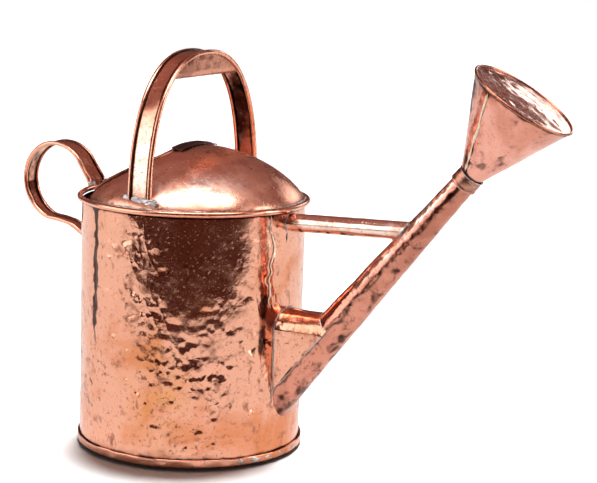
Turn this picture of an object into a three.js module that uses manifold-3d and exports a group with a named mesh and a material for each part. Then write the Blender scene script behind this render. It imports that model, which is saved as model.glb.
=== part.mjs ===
// Copper watering can: a soldered sheet-metal body with a half hood, a carrying arch, a pouring loop,
// a braced spout and a push-fit rose.
// Millimetres, +Z up, +X towards the spout. The origin is on the body's axis, on the ground.

import * as THREE from 'three';
import { mergeVertices } from 'three/addons/utils/BufferGeometryUtils.js';
import Module from 'manifold-3d';

const wasm = await Module();
wasm.setup();

// ---- driving dimensions ----

const GAP = 0.3; // clearance between neighbouring sheets
const SHEET = 0.9; // copper sheet thickness

const BODY_RADIUS = 110;
const BODY_FOOT_Z = 4.5; // lower edge of the body sheet
const RIM_Z = 247.1; // height of the rim bead's centre
const RIM_BEAD_RADIUS = 2.9; // rolled rim
const RIM_BEAD_CENTRE_RADIUS = 111.7;
const ROUND_SIDES = 60; // facets round the body
const OVERSHOOT = 20; // how far a cutter or an untrimmed end runs past what it meets

const PAN_REST_RADIUS = 98; // flat disc that stands on the ground
const PAN_KNEE_RADIUS = 105.5; // bend of the flare between the disc and the flange
const PAN_KNEE_Z = 4.5;
const PAN_KNUCKLE_Z = 9; // height where the pan's flare turns into its flange
const PAN_FLANGE_TOP = 18;
const BAND_RADIUS = 112;
const BAND_LOW = 4;
const BAND_HIGH = 11.3;
const BAND_EASE = 0.6; // eased edge of the foot band

const HOOD_RADIUS = 108.4;
const HOOD_FOOT_Z = 240; // lower edge of the flange inside the body
const HOOD_BASE_Z = 248;
const HOOD_TOP_Z = 299;
const HOOD_FULLNESS = 0.74; // exponent: 0.5 is an ellipse, 1 a parabola
const MOUTH_X = -2; // front of the filling mouth, just behind the crown
const MOUTH_SWEEP = 62; // how far its sides sweep back where they meet the rim
const MOUTH_HALF_WIDTH = 88;
const MOUTH_POWER = 4.6; // higher is squarer
const MOUTH_OVERREACH = 1.03; // the mouth's outline runs this much past its half width
const SLOPE_STEP = 0.1; // distance to each side over which a slope is measured
const HOOD_BEAD_RADIUS = 2.2;
const HOOD_BEAD_HALF_SPAN = 86;
const CROWN_HALF_LENGTH = 31;
const CROWN_BACK = 5; // how far the crown strip reaches behind the cut
const CROWN_FRONT = 8; // and in front of it

const CARRY_HALF_SPAN = 105; // outside of the arch at its feet
const CARRY_RISE = 146.3;
const CARRY_FOOT_Z = 246;
const CARRY_SQUARENESS = 2.36; // superellipse exponent of the arch
const CARRY_HALF_WIDTH = 12.9;
const CARRY_YAW = 2.7; // degrees, the arch is soldered on slightly askew
const CARRY_SHIFT_X = 1.1;
const BEAD_RADIUS = 2.4; // wired edges of both handles
const STRAP_THICKNESS = 1.2;
const GRIP_BOTTOM_Z = 366;
const GRIP_HALF_WIDTH = 10;
const GRIP_CORNER = 6;
const GRIP_BLANK = 90; // reach of the bar that the grip is cut from

const LOOP_CENTRE_X = -163.2;
const LOOP_CENTRE_Z = 247;
const LOOP_RADIUS = 42;
const LOOP_WIDE = 14.6; // half width at the rim
const LOOP_NARROW = 7.8; // half width at the lower end
// X and Z of the loop's lower leg, from the ring to the body
const LOOP_TAIL = [
  [-160.8, 207.8],
  [-145.9, 204.5],
  [-129.3, 194.9],
  [-115, 188],
  [-104, 184],
];

const SPOUT_FOOT_X = 110;
const SPOUT_FOOT_Z = 75.5;
const SPOUT_ANGLE = 49.9; // degrees above the ground
const SPOUT_FOOT_RADIUS = 20.5;
const SPOUT_TAPER = 0.0325; // radius lost for each millimetre of length
const SPOUT_ROOT = -30; // the tube starts inside the body and is trimmed to its wall
const SPOUT_LENGTH = 288;
const INLET_RADIUS = 16;

const STOP_START = 278; // distances along the spout's axis from its foot
const STOP_END = 279.9;
const STOP_RADIUS = 13;
const SOCKET_START = 280.2;
const SOCKET_STEP = 286.6; // the wider lower band of the socket ends here
const SOCKET_END = 291.1;
const SOCKET_LOWER_RADIUS = 12.7;
const SOCKET_UPPER_RADIUS = 12.4;

const ROSE_START = 291.4; // flat lower edge of the cone, square to the spout
const ROSE_NECK = 291.6; // point on the spout's axis where the cone's own axis starts
const ROSE_ROOT = -3; // the cone starts behind its neck and is trimmed there
const ROSE_BEND = 8.1; // degrees between the cone's axis and the spout's
const ROSE_TURN = -20; // degrees the cone is turned on its socket, away from bent straight up
const ROSE_NECK_RADIUS = 11.9;
const ROSE_RADIUS = 52.6;
const ROSE_LENGTH = 83; // neck to the centre of the rim bead
const ROSE_BEAD_RADIUS = 2;
const ROSE_BULGE = 5;
const ROSE_HOLE_RADIUS = 1;
const ROSE_HOLE_RINGS = 3;
const ROSE_HOLE_PITCH = 13.6; // spacing of the rings of holes

const BRACE_RADIUS = 8.8;
const BRACE_Z_AT_BODY = 233.8;
const BRACE_Z_AT_SPOUT = 239;
const BRACE_REACH_X = 224;
const BRACE_END_X = 238;

const BREAST_BLANK = 40; // reach of the block that the breast is cut from
const BREAST_TOP_Z = 150.5;
const BREAST_ARCH = 19; // height of the rounded top above its straight sides
const BREAST_FRONT = [163, 138]; // X, Z of the front end of the lower edge
const BREAST_HEEL = [112, 59]; // X, Z of the lower edge at the body
const BREAST_BACK_X = 97; // inside the body, trimmed to its wall
const BREAST_TIP_SETBACK = 6; // the front edge leans back this far on its way up
const TUNNEL_FLOOR_Z = 30;

// ---- materials ----

function copper(colour, roughness = 0.28) {
  return new THREE.MeshStandardMaterial({ color: colour, roughness, metalness: 1 });
}

const POLISHED = 0xd98e6a;
const HAMMERED = 0xcf8260;
const SHADED = 0xb26a4b;
const DULL = 0x8a5a48;

// ---- geometry helpers ----

// Closed mesh with shared vertices as a manifold solid.
function solid(geometry) {
  const bare = geometry.index ? geometry.toNonIndexed() : geometry.clone();
  bare.deleteAttribute('normal');
  bare.deleteAttribute('uv');
  const merged = mergeVertices(bare, 1e-4);
  const points = merged.attributes.position.array;
  const corners = withoutSlivers(merged.index.array);
  if (signedVolume(points, corners) < 0) {
    corners.reverse();
  }
  const vertProperties = new Float32Array(points);
  const triVerts = new Uint32Array(corners);
  return new wasm.Manifold(new wasm.Mesh({ numProp: 3, vertProperties, triVerts }));
}

// Triangles that kept three different corners after merging.
function withoutSlivers(index) {
  const kept = [];
  for (let i = 0; i < index.length; i += 3) {
    const [a, b, c] = [index[i], index[i + 1], index[i + 2]];
    if (a !== b && b !== c && c !== a) {
      kept.push(a, b, c);
    }
  }
  return kept;
}

// Negative when the triangles wind inwards.
function signedVolume(points, corners) {
  const [a, b, c] = [new THREE.Vector3(), new THREE.Vector3(), new THREE.Vector3()];
  let volume = 0;
  for (let i = 0; i < corners.length; i += 3) {
    a.fromArray(points, 3 * corners[i]);
    b.fromArray(points, 3 * corners[i + 1]);
    c.fromArray(points, 3 * corners[i + 2]);
    volume += a.dot(b.cross(c)) / 6;
  }
  return volume;
}

function geometryOf(manifold) {
  const { vertProperties, triVerts } = manifold.getMesh();
  const geometry = new THREE.BufferGeometry();
  geometry.setAttribute('position', new THREE.BufferAttribute(vertProperties, 3));
  geometry.setIndex(new THREE.BufferAttribute(triVerts, 1));
  geometry.computeVertexNormals();
  return geometry;
}

const group = new THREE.Group();

function addPiece(name, manifold, material) {
  const mesh = new THREE.Mesh(geometryOf(manifold), material);
  mesh.name = name;
  group.add(mesh);
}

// Solid of revolution about Z from [radius, height] pairs.
function turned(profile, sides = ROUND_SIDES) {
  const points = profile.map(([radius, height]) => new THREE.Vector2(radius, height));
  return new THREE.LatheGeometry(points, sides).rotateX(Math.PI / 2);
}

function closedLoop(profile) {
  return [...profile, profile[0]];
}

// Ring of round section about Z.
function turnedBead(centreRadius, height, beadRadius, sides = ROUND_SIDES) {
  return new THREE.TorusGeometry(centreRadius, beadRadius, 8, sides).translate(0, 0, height);
}

// Outline in Y and Z, extruded along X from -halfWidth to +halfWidth.
function acrossX(outline, halfWidth) {
  const options = { depth: 2 * halfWidth, bevelEnabled: false };
  const geometry = new THREE.ExtrudeGeometry(new THREE.Shape(outline), options);
  const turn = new THREE.Matrix4().makeBasis(
    new THREE.Vector3(0, 1, 0),
    new THREE.Vector3(0, 0, 1),
    new THREE.Vector3(1, 0, 0),
  );
  return geometry.applyMatrix4(turn).translate(-halfWidth, 0, 0);
}

// Outline in X and Z, extruded along Y from -halfWidth to +halfWidth.
function acrossY(outline, halfWidth) {
  const options = { depth: 2 * halfWidth, bevelEnabled: false };
  const geometry = new THREE.ExtrudeGeometry(new THREE.Shape(outline), options);
  return geometry.rotateX(Math.PI / 2).translate(0, halfWidth, 0);
}

function roundBar(curve, radius, steps, sides = 8) {
  const section = new THREE.Shape(new THREE.EllipseCurve(0, 0, radius, radius).getPoints(sides).slice(0, sides));
  return new THREE.ExtrudeGeometry(section, { steps, extrudePath: curve, bevelEnabled: false });
}

const radians = THREE.MathUtils.degToRad;
const point2 = (x, y) => new THREE.Vector2(x, y);

// ---- shared cutting bodies ----

// Everything inside the body's outer face, grown by the clearance.
function bodyCore() {
  return solid(new THREE.CylinderGeometry(BODY_RADIUS + GAP, BODY_RADIUS + GAP, RIM_Z, 192)
    .rotateX(Math.PI / 2)
    .translate(0, 0, RIM_Z / 2));
}

// Spout frame: Z along the spout's axis, origin at its foot.
function alongSpout(geometry) {
  return geometry.rotateY(radians(90 - SPOUT_ANGLE)).translate(SPOUT_FOOT_X, 0, SPOUT_FOOT_Z);
}

function spoutRadius(distance) {
  return SPOUT_FOOT_RADIUS - SPOUT_TAPER * distance;
}

// The spout's outer cone, grown by the clearance.
function spoutCore() {
  const [start, end] = [SPOUT_ROOT - OVERSHOOT, SPOUT_LENGTH + OVERSHOOT];
  const profile = [
    [0, start],
    [spoutRadius(start) + GAP, start],
    [spoutRadius(end) + GAP, end],
    [0, end],
  ];
  return solid(alongSpout(turned(profile, 48)));
}

// ---- body ----

function bodyShell() {
  const wall = closedLoop([
    [BODY_RADIUS - SHEET, BODY_FOOT_Z],
    [BODY_RADIUS, BODY_FOOT_Z],
    [BODY_RADIUS, RIM_Z - RIM_BEAD_RADIUS - GAP],
    [BODY_RADIUS - SHEET, RIM_Z - RIM_BEAD_RADIUS - GAP],
  ]);
  const inlet = new THREE.CylinderGeometry(INLET_RADIUS, INLET_RADIUS, 4 * OVERSHOOT, 24).rotateX(Math.PI / 2);
  return solid(turned(wall)).subtract(solid(alongSpout(inlet)));
}

function rimBead() {
  return solid(turnedBead(RIM_BEAD_CENTRE_RADIUS, RIM_Z, RIM_BEAD_RADIUS));
}

function bottomPan() {
  const flange = BODY_RADIUS - SHEET - GAP;
    const profile = [
    [0, 0],
    [PAN_REST_RADIUS, 0],
    [PAN_KNEE_RADIUS, PAN_KNEE_Z],
    [flange, PAN_KNUCKLE_Z],
    [flange, PAN_FLANGE_TOP],
    [flange - SHEET, PAN_FLANGE_TOP],
    [flange - SHEET, PAN_KNUCKLE_Z + SHEET / 2],
    [PAN_KNEE_RADIUS - SHEET / 2, PAN_KNEE_Z + SHEET],
    [PAN_REST_RADIUS - SHEET / 2, SHEET],
    [0, SHEET],
  ];
  return solid(turned(profile));
}

function footBand() {
  const inner = BODY_RADIUS + GAP;
  const profile = closedLoop([
    [inner, BAND_LOW],
    [BAND_RADIUS - BAND_EASE, BAND_LOW],
    [BAND_RADIUS, BAND_LOW + BAND_EASE],
    [BAND_RADIUS, BAND_HIGH - BAND_EASE],
    [BAND_RADIUS - BAND_EASE, BAND_HIGH],
    [inner, BAND_HIGH],
  ]);
  return solid(turned(profile));
}

// ---- hood ----

// Outline of the dome from its crown to its base, grown by the given amount.
function domeProfile(grow, steps = 9) {
  const profile = [];
  for (let i = 0; i <= steps; i += 1) {
    const angle = (i / steps) * (Math.PI / 2);
    const rise = (HOOD_TOP_Z - HOOD_BASE_Z + grow) * Math.max(Math.cos(angle), 0) ** (2 * HOOD_FULLNESS);
    profile.push([(HOOD_RADIUS + grow) * Math.sin(angle), HOOD_BASE_Z + rise]);
  }
  profile[0][0] = 0;
  return profile;
}

function domeHeight(radius) {
  const share = Math.min(radius / HOOD_RADIUS, 1);
  return HOOD_BASE_Z + (HOOD_TOP_Z - HOOD_BASE_Z) * (1 - share * share) ** HOOD_FULLNESS;
}

// The space under the dome's outer face, grown by the given amount.
function domeCore(grow) {
  const floor = HOOD_FOOT_Z - OVERSHOOT;
  return solid(turned([...domeProfile(grow), [HOOD_RADIUS + grow, floor], [0, floor]]));
}

// X of the filling mouth's edge in plan, at a distance to the side.
function mouthX(y) {
  return MOUTH_X - MOUTH_SWEEP * Math.abs(y / MOUTH_HALF_WIDTH) ** MOUTH_POWER;
}

// Upright cutter with the mouth's outline in plan.
function mouthCutter(steps = 32) {
  const outline = [];
  const reach = MOUTH_OVERREACH * MOUTH_HALF_WIDTH;
  for (let i = 0; i <= steps; i += 1) {
    const y = reach * Math.sin(Math.PI * (i / steps - 0.5));
    outline.push(point2(mouthX(y), y));
  }
  outline.push(point2(-2 * HOOD_RADIUS, reach), point2(-2 * HOOD_RADIUS, -reach));
  const options = { depth: HOOD_TOP_Z - HOOD_FOOT_Z + 2 * OVERSHOOT, bevelEnabled: false };
  const cutter = new THREE.ExtrudeGeometry(new THREE.Shape(outline), options);
  return solid(cutter.translate(0, 0, HOOD_FOOT_Z - OVERSHOOT));
}

function hood() {
  const inner = domeProfile(-SHEET).reverse();
  const shell = [
    ...domeProfile(0),
    [HOOD_RADIUS, HOOD_FOOT_Z],
    [HOOD_RADIUS - SHEET, HOOD_FOOT_Z],
    ...inner,
  ];
  return solid(turned(shell)).subtract(mouthCutter());
}

// Centre line of the wired edge round the filling mouth, beside the cut edge of the sheet.
class MouthEdge extends THREE.Curve {
  getPoint(share, target = new THREE.Vector3()) {
    const y = HOOD_BEAD_HALF_SPAN * Math.sin((share - 0.5) * Math.PI);
    const slope = (mouthX(y + SLOPE_STEP) - mouthX(y - SLOPE_STEP)) / (2 * SLOPE_STEP);
    const away = (HOOD_BEAD_RADIUS + GAP) / Math.hypot(1, slope);
    const [x, side] = [mouthX(y) - away, y + slope * away];
    return target.set(x, side, domeHeight(Math.hypot(x, side)) - SHEET / 2);
  }
}

function hoodEdgeBead() {
  return solid(roundBar(new MouthEdge(), HOOD_BEAD_RADIUS, 28));
}

// Short doubled strip soldered over the middle of the mouth's edge.
function hoodCrownStrip() {
  const clear = HOOD_BEAD_RADIUS + GAP;
  const outline = [
    point2(MOUTH_X - CROWN_BACK, HOOD_BASE_Z),
    point2(MOUTH_X + CROWN_FRONT, HOOD_BASE_Z),
    point2(MOUTH_X + CROWN_FRONT, HOOD_TOP_Z + OVERSHOOT),
    point2(MOUTH_X - CROWN_BACK, HOOD_TOP_Z + OVERSHOOT),
  ];
  return domeCore(clear + STRAP_THICKNESS)
    .subtract(domeCore(clear))
    .intersect(solid(acrossY(outline, CROWN_HALF_LENGTH)));
}

// ---- carrying handle ----

// Point of the arch in Y and Z, at a depth inside its outer line.
function archPoint(angle, depth) {
  const power = 2 / CARRY_SQUARENESS;
  const y = Math.sign(Math.sin(angle)) * Math.abs(Math.sin(angle)) ** power;
  const z = Math.max(Math.cos(angle), 0) ** power;
  return point2((CARRY_HALF_SPAN - depth) * y, CARRY_FOOT_Z + (CARRY_RISE - depth) * z);
}

function archLine(depth, steps = 40) {
  const line = [];
  for (let i = 0; i <= steps; i += 1) {
    line.push(archPoint(Math.PI * (i / steps - 0.5), depth));
  }
  return line;
}

function placeCarry(geometry) {
  return geometry.rotateZ(radians(CARRY_YAW)).translate(CARRY_SHIFT_X, 0, 0);
}

function carryStrap() {
  const depth = BEAD_RADIUS - STRAP_THICKNESS / 2;
  const outline = [...archLine(depth), ...archLine(depth + STRAP_THICKNESS).reverse()];
  const halfWidth = CARRY_HALF_WIDTH - 2 * BEAD_RADIUS - GAP;
  return solid(placeCarry(acrossX(outline, halfWidth))).subtract(domeCore(GAP));
}

function carryBead(side) {
  const x = side * (CARRY_HALF_WIDTH - BEAD_RADIUS);
  const line = archLine(BEAD_RADIUS).map((p) => new THREE.Vector3(x, p.x, p.y));
  const bar = roundBar(new THREE.CatmullRomCurve3(line), BEAD_RADIUS, 44);
  return solid(placeCarry(bar)).subtract(domeCore(GAP));
}

// U-shaped section of the grip, in X and Z, open at the top.
function gripSection(inset) {
  const half = GRIP_HALF_WIDTH - inset;
  const low = GRIP_BOTTOM_Z + inset;
  const corner = GRIP_CORNER - inset;
  const top = CARRY_FOOT_Z + CARRY_RISE + inset;
  const section = new THREE.Shape();
  section.moveTo(-half, top);
  section.lineTo(-half, low + corner);
  section.absarc(corner - half, low + corner, corner, Math.PI, 1.5 * Math.PI, false);
  section.lineTo(half - corner, low);
  section.absarc(half - corner, low + corner, corner, 1.5 * Math.PI, 2 * Math.PI, false);
  section.lineTo(half, top);
  return section.getPoints(4);
}

function gripTrough() {
  const outer = solid(placeCarry(acrossY(gripSection(0), GRIP_BLANK)));
  const inner = solid(placeCarry(acrossY(gripSection(SHEET), GRIP_BLANK + 1)));
  const underArch = solid(placeCarry(acrossX(archLine(2 * BEAD_RADIUS + GAP), 30)));
  return outer.subtract(inner).intersect(underArch);
}

// ---- pouring loop ----

// Centre line of the loop in X and Z, from the rim over the top and back to the body.
function loopCurve() {
  const radius = LOOP_RADIUS - BEAD_RADIUS;
  const hug = RIM_BEAD_CENTRE_RADIUS + RIM_BEAD_RADIUS + 2 * GAP + BEAD_RADIUS; // just clear of the rim
  const line = [[-hug, RIM_Z - 3], [-hug - 1, RIM_Z + 4]];
  for (let degrees = 25; degrees <= 250; degrees += 25) {
    const angle = radians(degrees);
    line.push([LOOP_CENTRE_X + radius * Math.cos(angle), LOOP_CENTRE_Z + radius * Math.sin(angle)]);
  }
  line.push(...LOOP_TAIL);
  return new THREE.CatmullRomCurve3(line.map(([x, z]) => new THREE.Vector3(x, 0, z)));
}

// Half width of the tapering loop at a share of its length.
function loopHalfWidth(share) {
  return LOOP_WIDE + (LOOP_NARROW - LOOP_WIDE) * share;
}

function loopStrap() {
  const points = loopCurve().getSpacedPoints(36);
  const half = STRAP_THICKNESS / 2;
  const [left, right] = [[], []];
  points.forEach((p, i) => {
    const ahead = points[Math.min(i + 1, points.length - 1)];
    const behind = points[Math.max(i - 1, 0)];
    const run = point2(ahead.x - behind.x, ahead.z - behind.z).normalize();
    left.push(point2(p.x - half * run.y, p.z + half * run.x));
    right.push(point2(p.x + half * run.y, p.z - half * run.x));
  });
  const strap = acrossY([...left, ...right.reverse()], 1);
  const places = strap.attributes.position;
  for (let i = 0; i < places.count; i += 1) {
    const share = nearestShare(points, places.getX(i), places.getZ(i));
    places.setY(i, places.getY(i) * (loopHalfWidth(share) - 2 * BEAD_RADIUS - GAP));
  }
  return solid(strap).subtract(bodyCore());
}

// Share of the way along evenly spaced points where X and Z come closest.
function nearestShare(points, x, z) {
  const gaps = points.map((p) => Math.hypot(p.x - x, p.z - z));
  return gaps.indexOf(Math.min(...gaps)) / (points.length - 1);
}

function loopBead(side) {
  const steps = 36;
  const line = loopCurve().getSpacedPoints(steps).map((p, i) => {
    const y = side * (loopHalfWidth(i / steps) - BEAD_RADIUS);
    return new THREE.Vector3(p.x, y, p.z);
  });
  return solid(roundBar(new THREE.CatmullRomCurve3(line), BEAD_RADIUS, steps)).subtract(bodyCore());
}

// ---- spout, breast and brace ----

function ringProfile(start, end, innerRadius, outerRadius) {
  return closedLoop([
    [innerRadius, start],
    [outerRadius, start],
    [outerRadius, end],
    [innerRadius, end],
  ]);
}

function spoutTube() {
  const start = SPOUT_ROOT;
  const profile = closedLoop([
    [spoutRadius(start) - SHEET, start],
    [spoutRadius(start), start],
    [spoutRadius(SPOUT_LENGTH), SPOUT_LENGTH],
    [spoutRadius(SPOUT_LENGTH) - SHEET, SPOUT_LENGTH],
  ]);
  return solid(alongSpout(turned(profile, 32))).subtract(bodyCore());
}

// Ring soldered on the tube, where the rose's socket stops.
function spoutStopRing() {
  const inner = spoutRadius(STOP_START) + GAP;
  return solid(alongSpout(turned(ringProfile(STOP_START, STOP_END, inner, STOP_RADIUS), 32)));
}

// Half width of the breast's outer face above the spout's flank at X.
function breastHalfWidth(x) {
  const distance = (x - SPOUT_FOOT_X) / Math.cos(radians(SPOUT_ANGLE));
  return spoutRadius(distance) + GAP + SHEET;
}

// Tunnel with straight sides and a rounded top, as wide as the spout all along.
function breastTunnel(inset) {
  const springing = BREAST_TOP_Z - BREAST_ARCH;
  const section = new THREE.Shape();
  section.moveTo(-1, TUNNEL_FLOOR_Z);
  section.absellipse(0, springing, 1, BREAST_ARCH - inset, Math.PI, 0, true);
  section.lineTo(1, TUNNEL_FLOOR_Z);
  const [back, front] = [BREAST_BACK_X - OVERSHOOT, BREAST_FRONT[0] + OVERSHOOT];
  const tunnel = acrossX(section.getPoints(8), (front - back) / 2).translate((front + back) / 2, 0, 0);
  const places = tunnel.attributes.position;
  for (let i = 0; i < places.count; i += 1) {
    places.setY(i, places.getY(i) * (breastHalfWidth(places.getX(i)) - inset));
  }
  return solid(tunnel);
}

function spoutBreast() {
  const slope = (BREAST_FRONT[1] - BREAST_HEEL[1]) / (BREAST_FRONT[0] - BREAST_HEEL[0]);
  const back = BREAST_BACK_X;
  const side = [
    point2(back, BREAST_HEEL[1] - slope * (BREAST_HEEL[0] - back)),
    point2(...BREAST_FRONT),
    point2(BREAST_FRONT[0] - BREAST_TIP_SETBACK, BREAST_TOP_Z + SHEET),
    point2(back, BREAST_TOP_Z + SHEET),
  ];
  return breastTunnel(0)
    .subtract(breastTunnel(SHEET))
    .intersect(solid(acrossY(side, BREAST_BLANK)))
    .subtract(spoutCore())
    .subtract(bodyCore());
}

function spoutBrace() {
  const climb = (BRACE_Z_AT_SPOUT - BRACE_Z_AT_BODY) / (BRACE_REACH_X - BODY_RADIUS);
  const start = -OVERSHOOT;
  const end = BRACE_END_X - BODY_RADIUS;
  const tube = turned(ringProfile(start, end, BRACE_RADIUS - SHEET, BRACE_RADIUS), 24)
    .rotateY(Math.PI / 2 - Math.atan(climb))
    .translate(BODY_RADIUS, 0, BRACE_Z_AT_BODY);
  return solid(tube).subtract(bodyCore()).subtract(spoutCore());
}

// ---- rose ----

// Sleeve that pushes over the spout's tip, with a doubled lower band.
function roseSocket() {
  const inner = spoutRadius(SOCKET_START) + GAP;
  const profile = closedLoop([
    [inner, SOCKET_START],
    [SOCKET_LOWER_RADIUS, SOCKET_START],
    [SOCKET_LOWER_RADIUS, SOCKET_STEP],
    [SOCKET_UPPER_RADIUS, SOCKET_STEP],
    [SOCKET_UPPER_RADIUS, SOCKET_END],
    [inner, SOCKET_END],
  ]);
  return solid(alongSpout(turned(profile, 32)));
}

// Rose frame: Z along the cone's axis, origin at the neck.
function alongRose(geometry) {
  return alongSpout(geometry.rotateY(radians(-ROSE_BEND)).rotateZ(radians(ROSE_TURN)).translate(0, 0, ROSE_NECK));
}

function roseCone() {
  const beadCentre = ROSE_RADIUS - ROSE_BEAD_RADIUS;
  const end = ROSE_LENGTH - ROSE_BEAD_RADIUS - GAP;
  const flare = (beadCentre - ROSE_NECK_RADIUS) / end;
  const startRadius = ROSE_NECK_RADIUS + flare * ROSE_ROOT;
  const sheet = closedLoop([
    [startRadius - SHEET, ROSE_ROOT],
    [startRadius, ROSE_ROOT],
    [beadCentre, end],
    [beadCentre - SHEET, end],
  ]);
  const below = new THREE.CylinderGeometry(ROSE_RADIUS, ROSE_RADIUS, OVERSHOOT, 24)
    .rotateX(Math.PI / 2)
    .translate(0, 0, ROSE_START - OVERSHOOT / 2);
  return solid(alongRose(turned(sheet, 48))).subtract(solid(alongSpout(below)));
}

function roseRimBead() {
  const ring = turnedBead(ROSE_RADIUS - ROSE_BEAD_RADIUS, ROSE_LENGTH, ROSE_BEAD_RADIUS, 48);
  return solid(alongRose(ring));
}

// Domed plate with rings of small holes.
function roseFace() {
  const edge = ROSE_RADIUS - 2 * ROSE_BEAD_RADIUS - GAP;
  const rings = [0, 0.35, 0.7, 1];
  const bulge = (share) => ROSE_LENGTH + ROSE_BULGE * (1 - share * share);
  const outer = rings.map((share) => [edge * share, bulge(share)]);
  const inner = rings.map((share) => [edge * share, bulge(share) - SHEET]).reverse();
  let plate = solid(turned([...outer, ...inner], 48));
  for (let ring = 0; ring <= ROSE_HOLE_RINGS; ring += 1) {
    const count = Math.max(1, 6 * ring);
    for (let i = 0; i < count; i += 1) {
      const angle = (2 * Math.PI * (i + 0.5 * (ring % 2))) / count;
      const drill = new THREE.CylinderGeometry(ROSE_HOLE_RADIUS, ROSE_HOLE_RADIUS, OVERSHOOT, 6)
        .rotateX(Math.PI / 2)
        .translate(ring * ROSE_HOLE_PITCH * Math.cos(angle), ring * ROSE_HOLE_PITCH * Math.sin(angle), ROSE_LENGTH);
      plate = plate.subtract(solid(drill));
    }
  }
  return solid(alongRose(geometryOf(plate)));
}

// ---- assembly ----

addPiece('body_shell', bodyShell(), copper(HAMMERED, 0.3));
addPiece('rim_bead', rimBead(), copper(POLISHED));
addPiece('bottom_pan', bottomPan(), copper(DULL, 0.55));
addPiece('foot_band', footBand(), copper(HAMMERED, 0.35));
addPiece('hood', hood(), copper(POLISHED, 0.25));
addPiece('hood_edge_bead', hoodEdgeBead(), copper(SHADED));
addPiece('hood_crown_strip', hoodCrownStrip(), copper(SHADED));
addPiece('carry_strap', carryStrap(), copper(POLISHED, 0.25));
addPiece('carry_bead_front', carryBead(1), copper(POLISHED));
addPiece('carry_bead_rear', carryBead(-1), copper(POLISHED));
addPiece('grip_trough', gripTrough(), copper(SHADED, 0.35));
addPiece('loop_strap', loopStrap(), copper(POLISHED, 0.25));
addPiece('loop_bead_left', loopBead(1), copper(POLISHED));
addPiece('loop_bead_right', loopBead(-1), copper(POLISHED));
addPiece('spout_tube', spoutTube(), copper(HAMMERED));
addPiece('spout_breast', spoutBreast(), copper(HAMMERED));
addPiece('spout_brace', spoutBrace(), copper(POLISHED));
addPiece('spout_stop_ring', spoutStopRing(), copper(SHADED));
addPiece('rose_socket', roseSocket(), copper(SHADED));
addPiece('rose_cone', roseCone(), copper(HAMMERED));
addPiece('rose_rim_bead', roseRimBead(), copper(POLISHED));
addPiece('rose_face', roseFace(), copper(SHADED, 0.35));

export default group;
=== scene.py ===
# Copper watering can: the fine surface, solder, materials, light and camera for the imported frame.
# Shapes are worked out in millimetres in the frame's own axes and turned into metres when a mesh is made.

import math

import bpy
import numpy as np
from mathutils import Matrix, Vector


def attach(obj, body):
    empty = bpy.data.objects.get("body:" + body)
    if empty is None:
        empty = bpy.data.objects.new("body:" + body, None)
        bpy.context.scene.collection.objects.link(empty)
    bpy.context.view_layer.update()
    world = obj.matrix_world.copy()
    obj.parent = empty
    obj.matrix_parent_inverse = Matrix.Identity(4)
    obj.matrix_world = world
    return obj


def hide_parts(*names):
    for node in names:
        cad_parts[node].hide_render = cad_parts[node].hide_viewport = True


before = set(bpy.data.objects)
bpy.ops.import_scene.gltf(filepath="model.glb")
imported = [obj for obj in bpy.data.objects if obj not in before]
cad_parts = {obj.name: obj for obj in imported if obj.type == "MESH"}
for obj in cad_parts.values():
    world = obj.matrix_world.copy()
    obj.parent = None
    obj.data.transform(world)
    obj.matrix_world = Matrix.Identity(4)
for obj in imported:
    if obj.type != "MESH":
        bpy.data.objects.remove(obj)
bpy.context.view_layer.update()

# ---- sizes shared with the frame, in millimetres ----

MM = 0.001
SHEET = 0.9
BODY_RADIUS = 110
BODY_FOOT_Z = 4.5
RIM_Z = 247.1
RIM_BEAD_RADIUS = 2.9
RIM_BEAD_CENTRE = 111.7
FOOT_BAND_FACE = 111.7
HOOD_RADIUS = 108.4
HOOD_BASE_Z = 248
HOOD_FOOT_Z = 240
HOOD_RISE = 51
HOOD_FULLNESS = 0.74
MOUTH_X = -2
MOUTH_SWEEP = 62
MOUTH_HALF_WIDTH = 88
MOUTH_POWER = 4.6
HOOD_BEAD_RADIUS = 2.2
HOOD_BEAD_HALF_SPAN = 86
CARRY_HALF_SPAN = 105
CARRY_RISE = 146.3
CARRY_FOOT_Z = 246
CARRY_SQUARENESS = 2.36
CARRY_HALF_WIDTH = 12.9
CARRY_YAW = 2.7
CARRY_SHIFT_X = 1.1
BEAD_RADIUS = 2.4
STRAP_THICKNESS = 1.2
GRIP_BOTTOM_Z = 366
GRIP_HALF_WIDTH = 10
GRIP_CORNER = 6
LOOP_CENTRE = (-163.2, 247)
LOOP_RADIUS = 42
LOOP_WIDE = 14.6
LOOP_NARROW = 7.8
LOOP_TAIL = ((-160.8, 207.8), (-145.9, 204.5), (-129.3, 194.9), (-115, 188), (-104, 184))
SPOUT_FOOT = (110, 0, 75.5)
SPOUT_ANGLE = 49.9
SPOUT_FOOT_RADIUS = 20.5
SPOUT_TAPER = 0.0325
SPOUT_LENGTH = 288
INLET_RADIUS = 16
STOP = (278, 279.9, 13)
SOCKET_START = 280.2
SOCKET_STEP = 286.6
SOCKET_END = 291.1
SOCKET_LOWER_RADIUS = 12.7
SOCKET_UPPER_RADIUS = 12.4
ROSE_NECK = 291.6
ROSE_START = 291.4
ROSE_BEND = 8.1
ROSE_TURN = -20
ROSE_NECK_RADIUS = 11.9
ROSE_RADIUS = 52.6
ROSE_LENGTH = 83
ROSE_BEAD_RADIUS = 2
ROSE_BULGE = 5
BRACE_RADIUS = 8.8
BRACE_START = (110, 0, 233.8)
BRACE_CLIMB = math.atan((239 - 233.8) / (224 - 110))
BREAST_SPRINGING = 131.5
BREAST_ARCH = 19
BREAST_HEEL_Z = 59

# ---- noise ----


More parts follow.
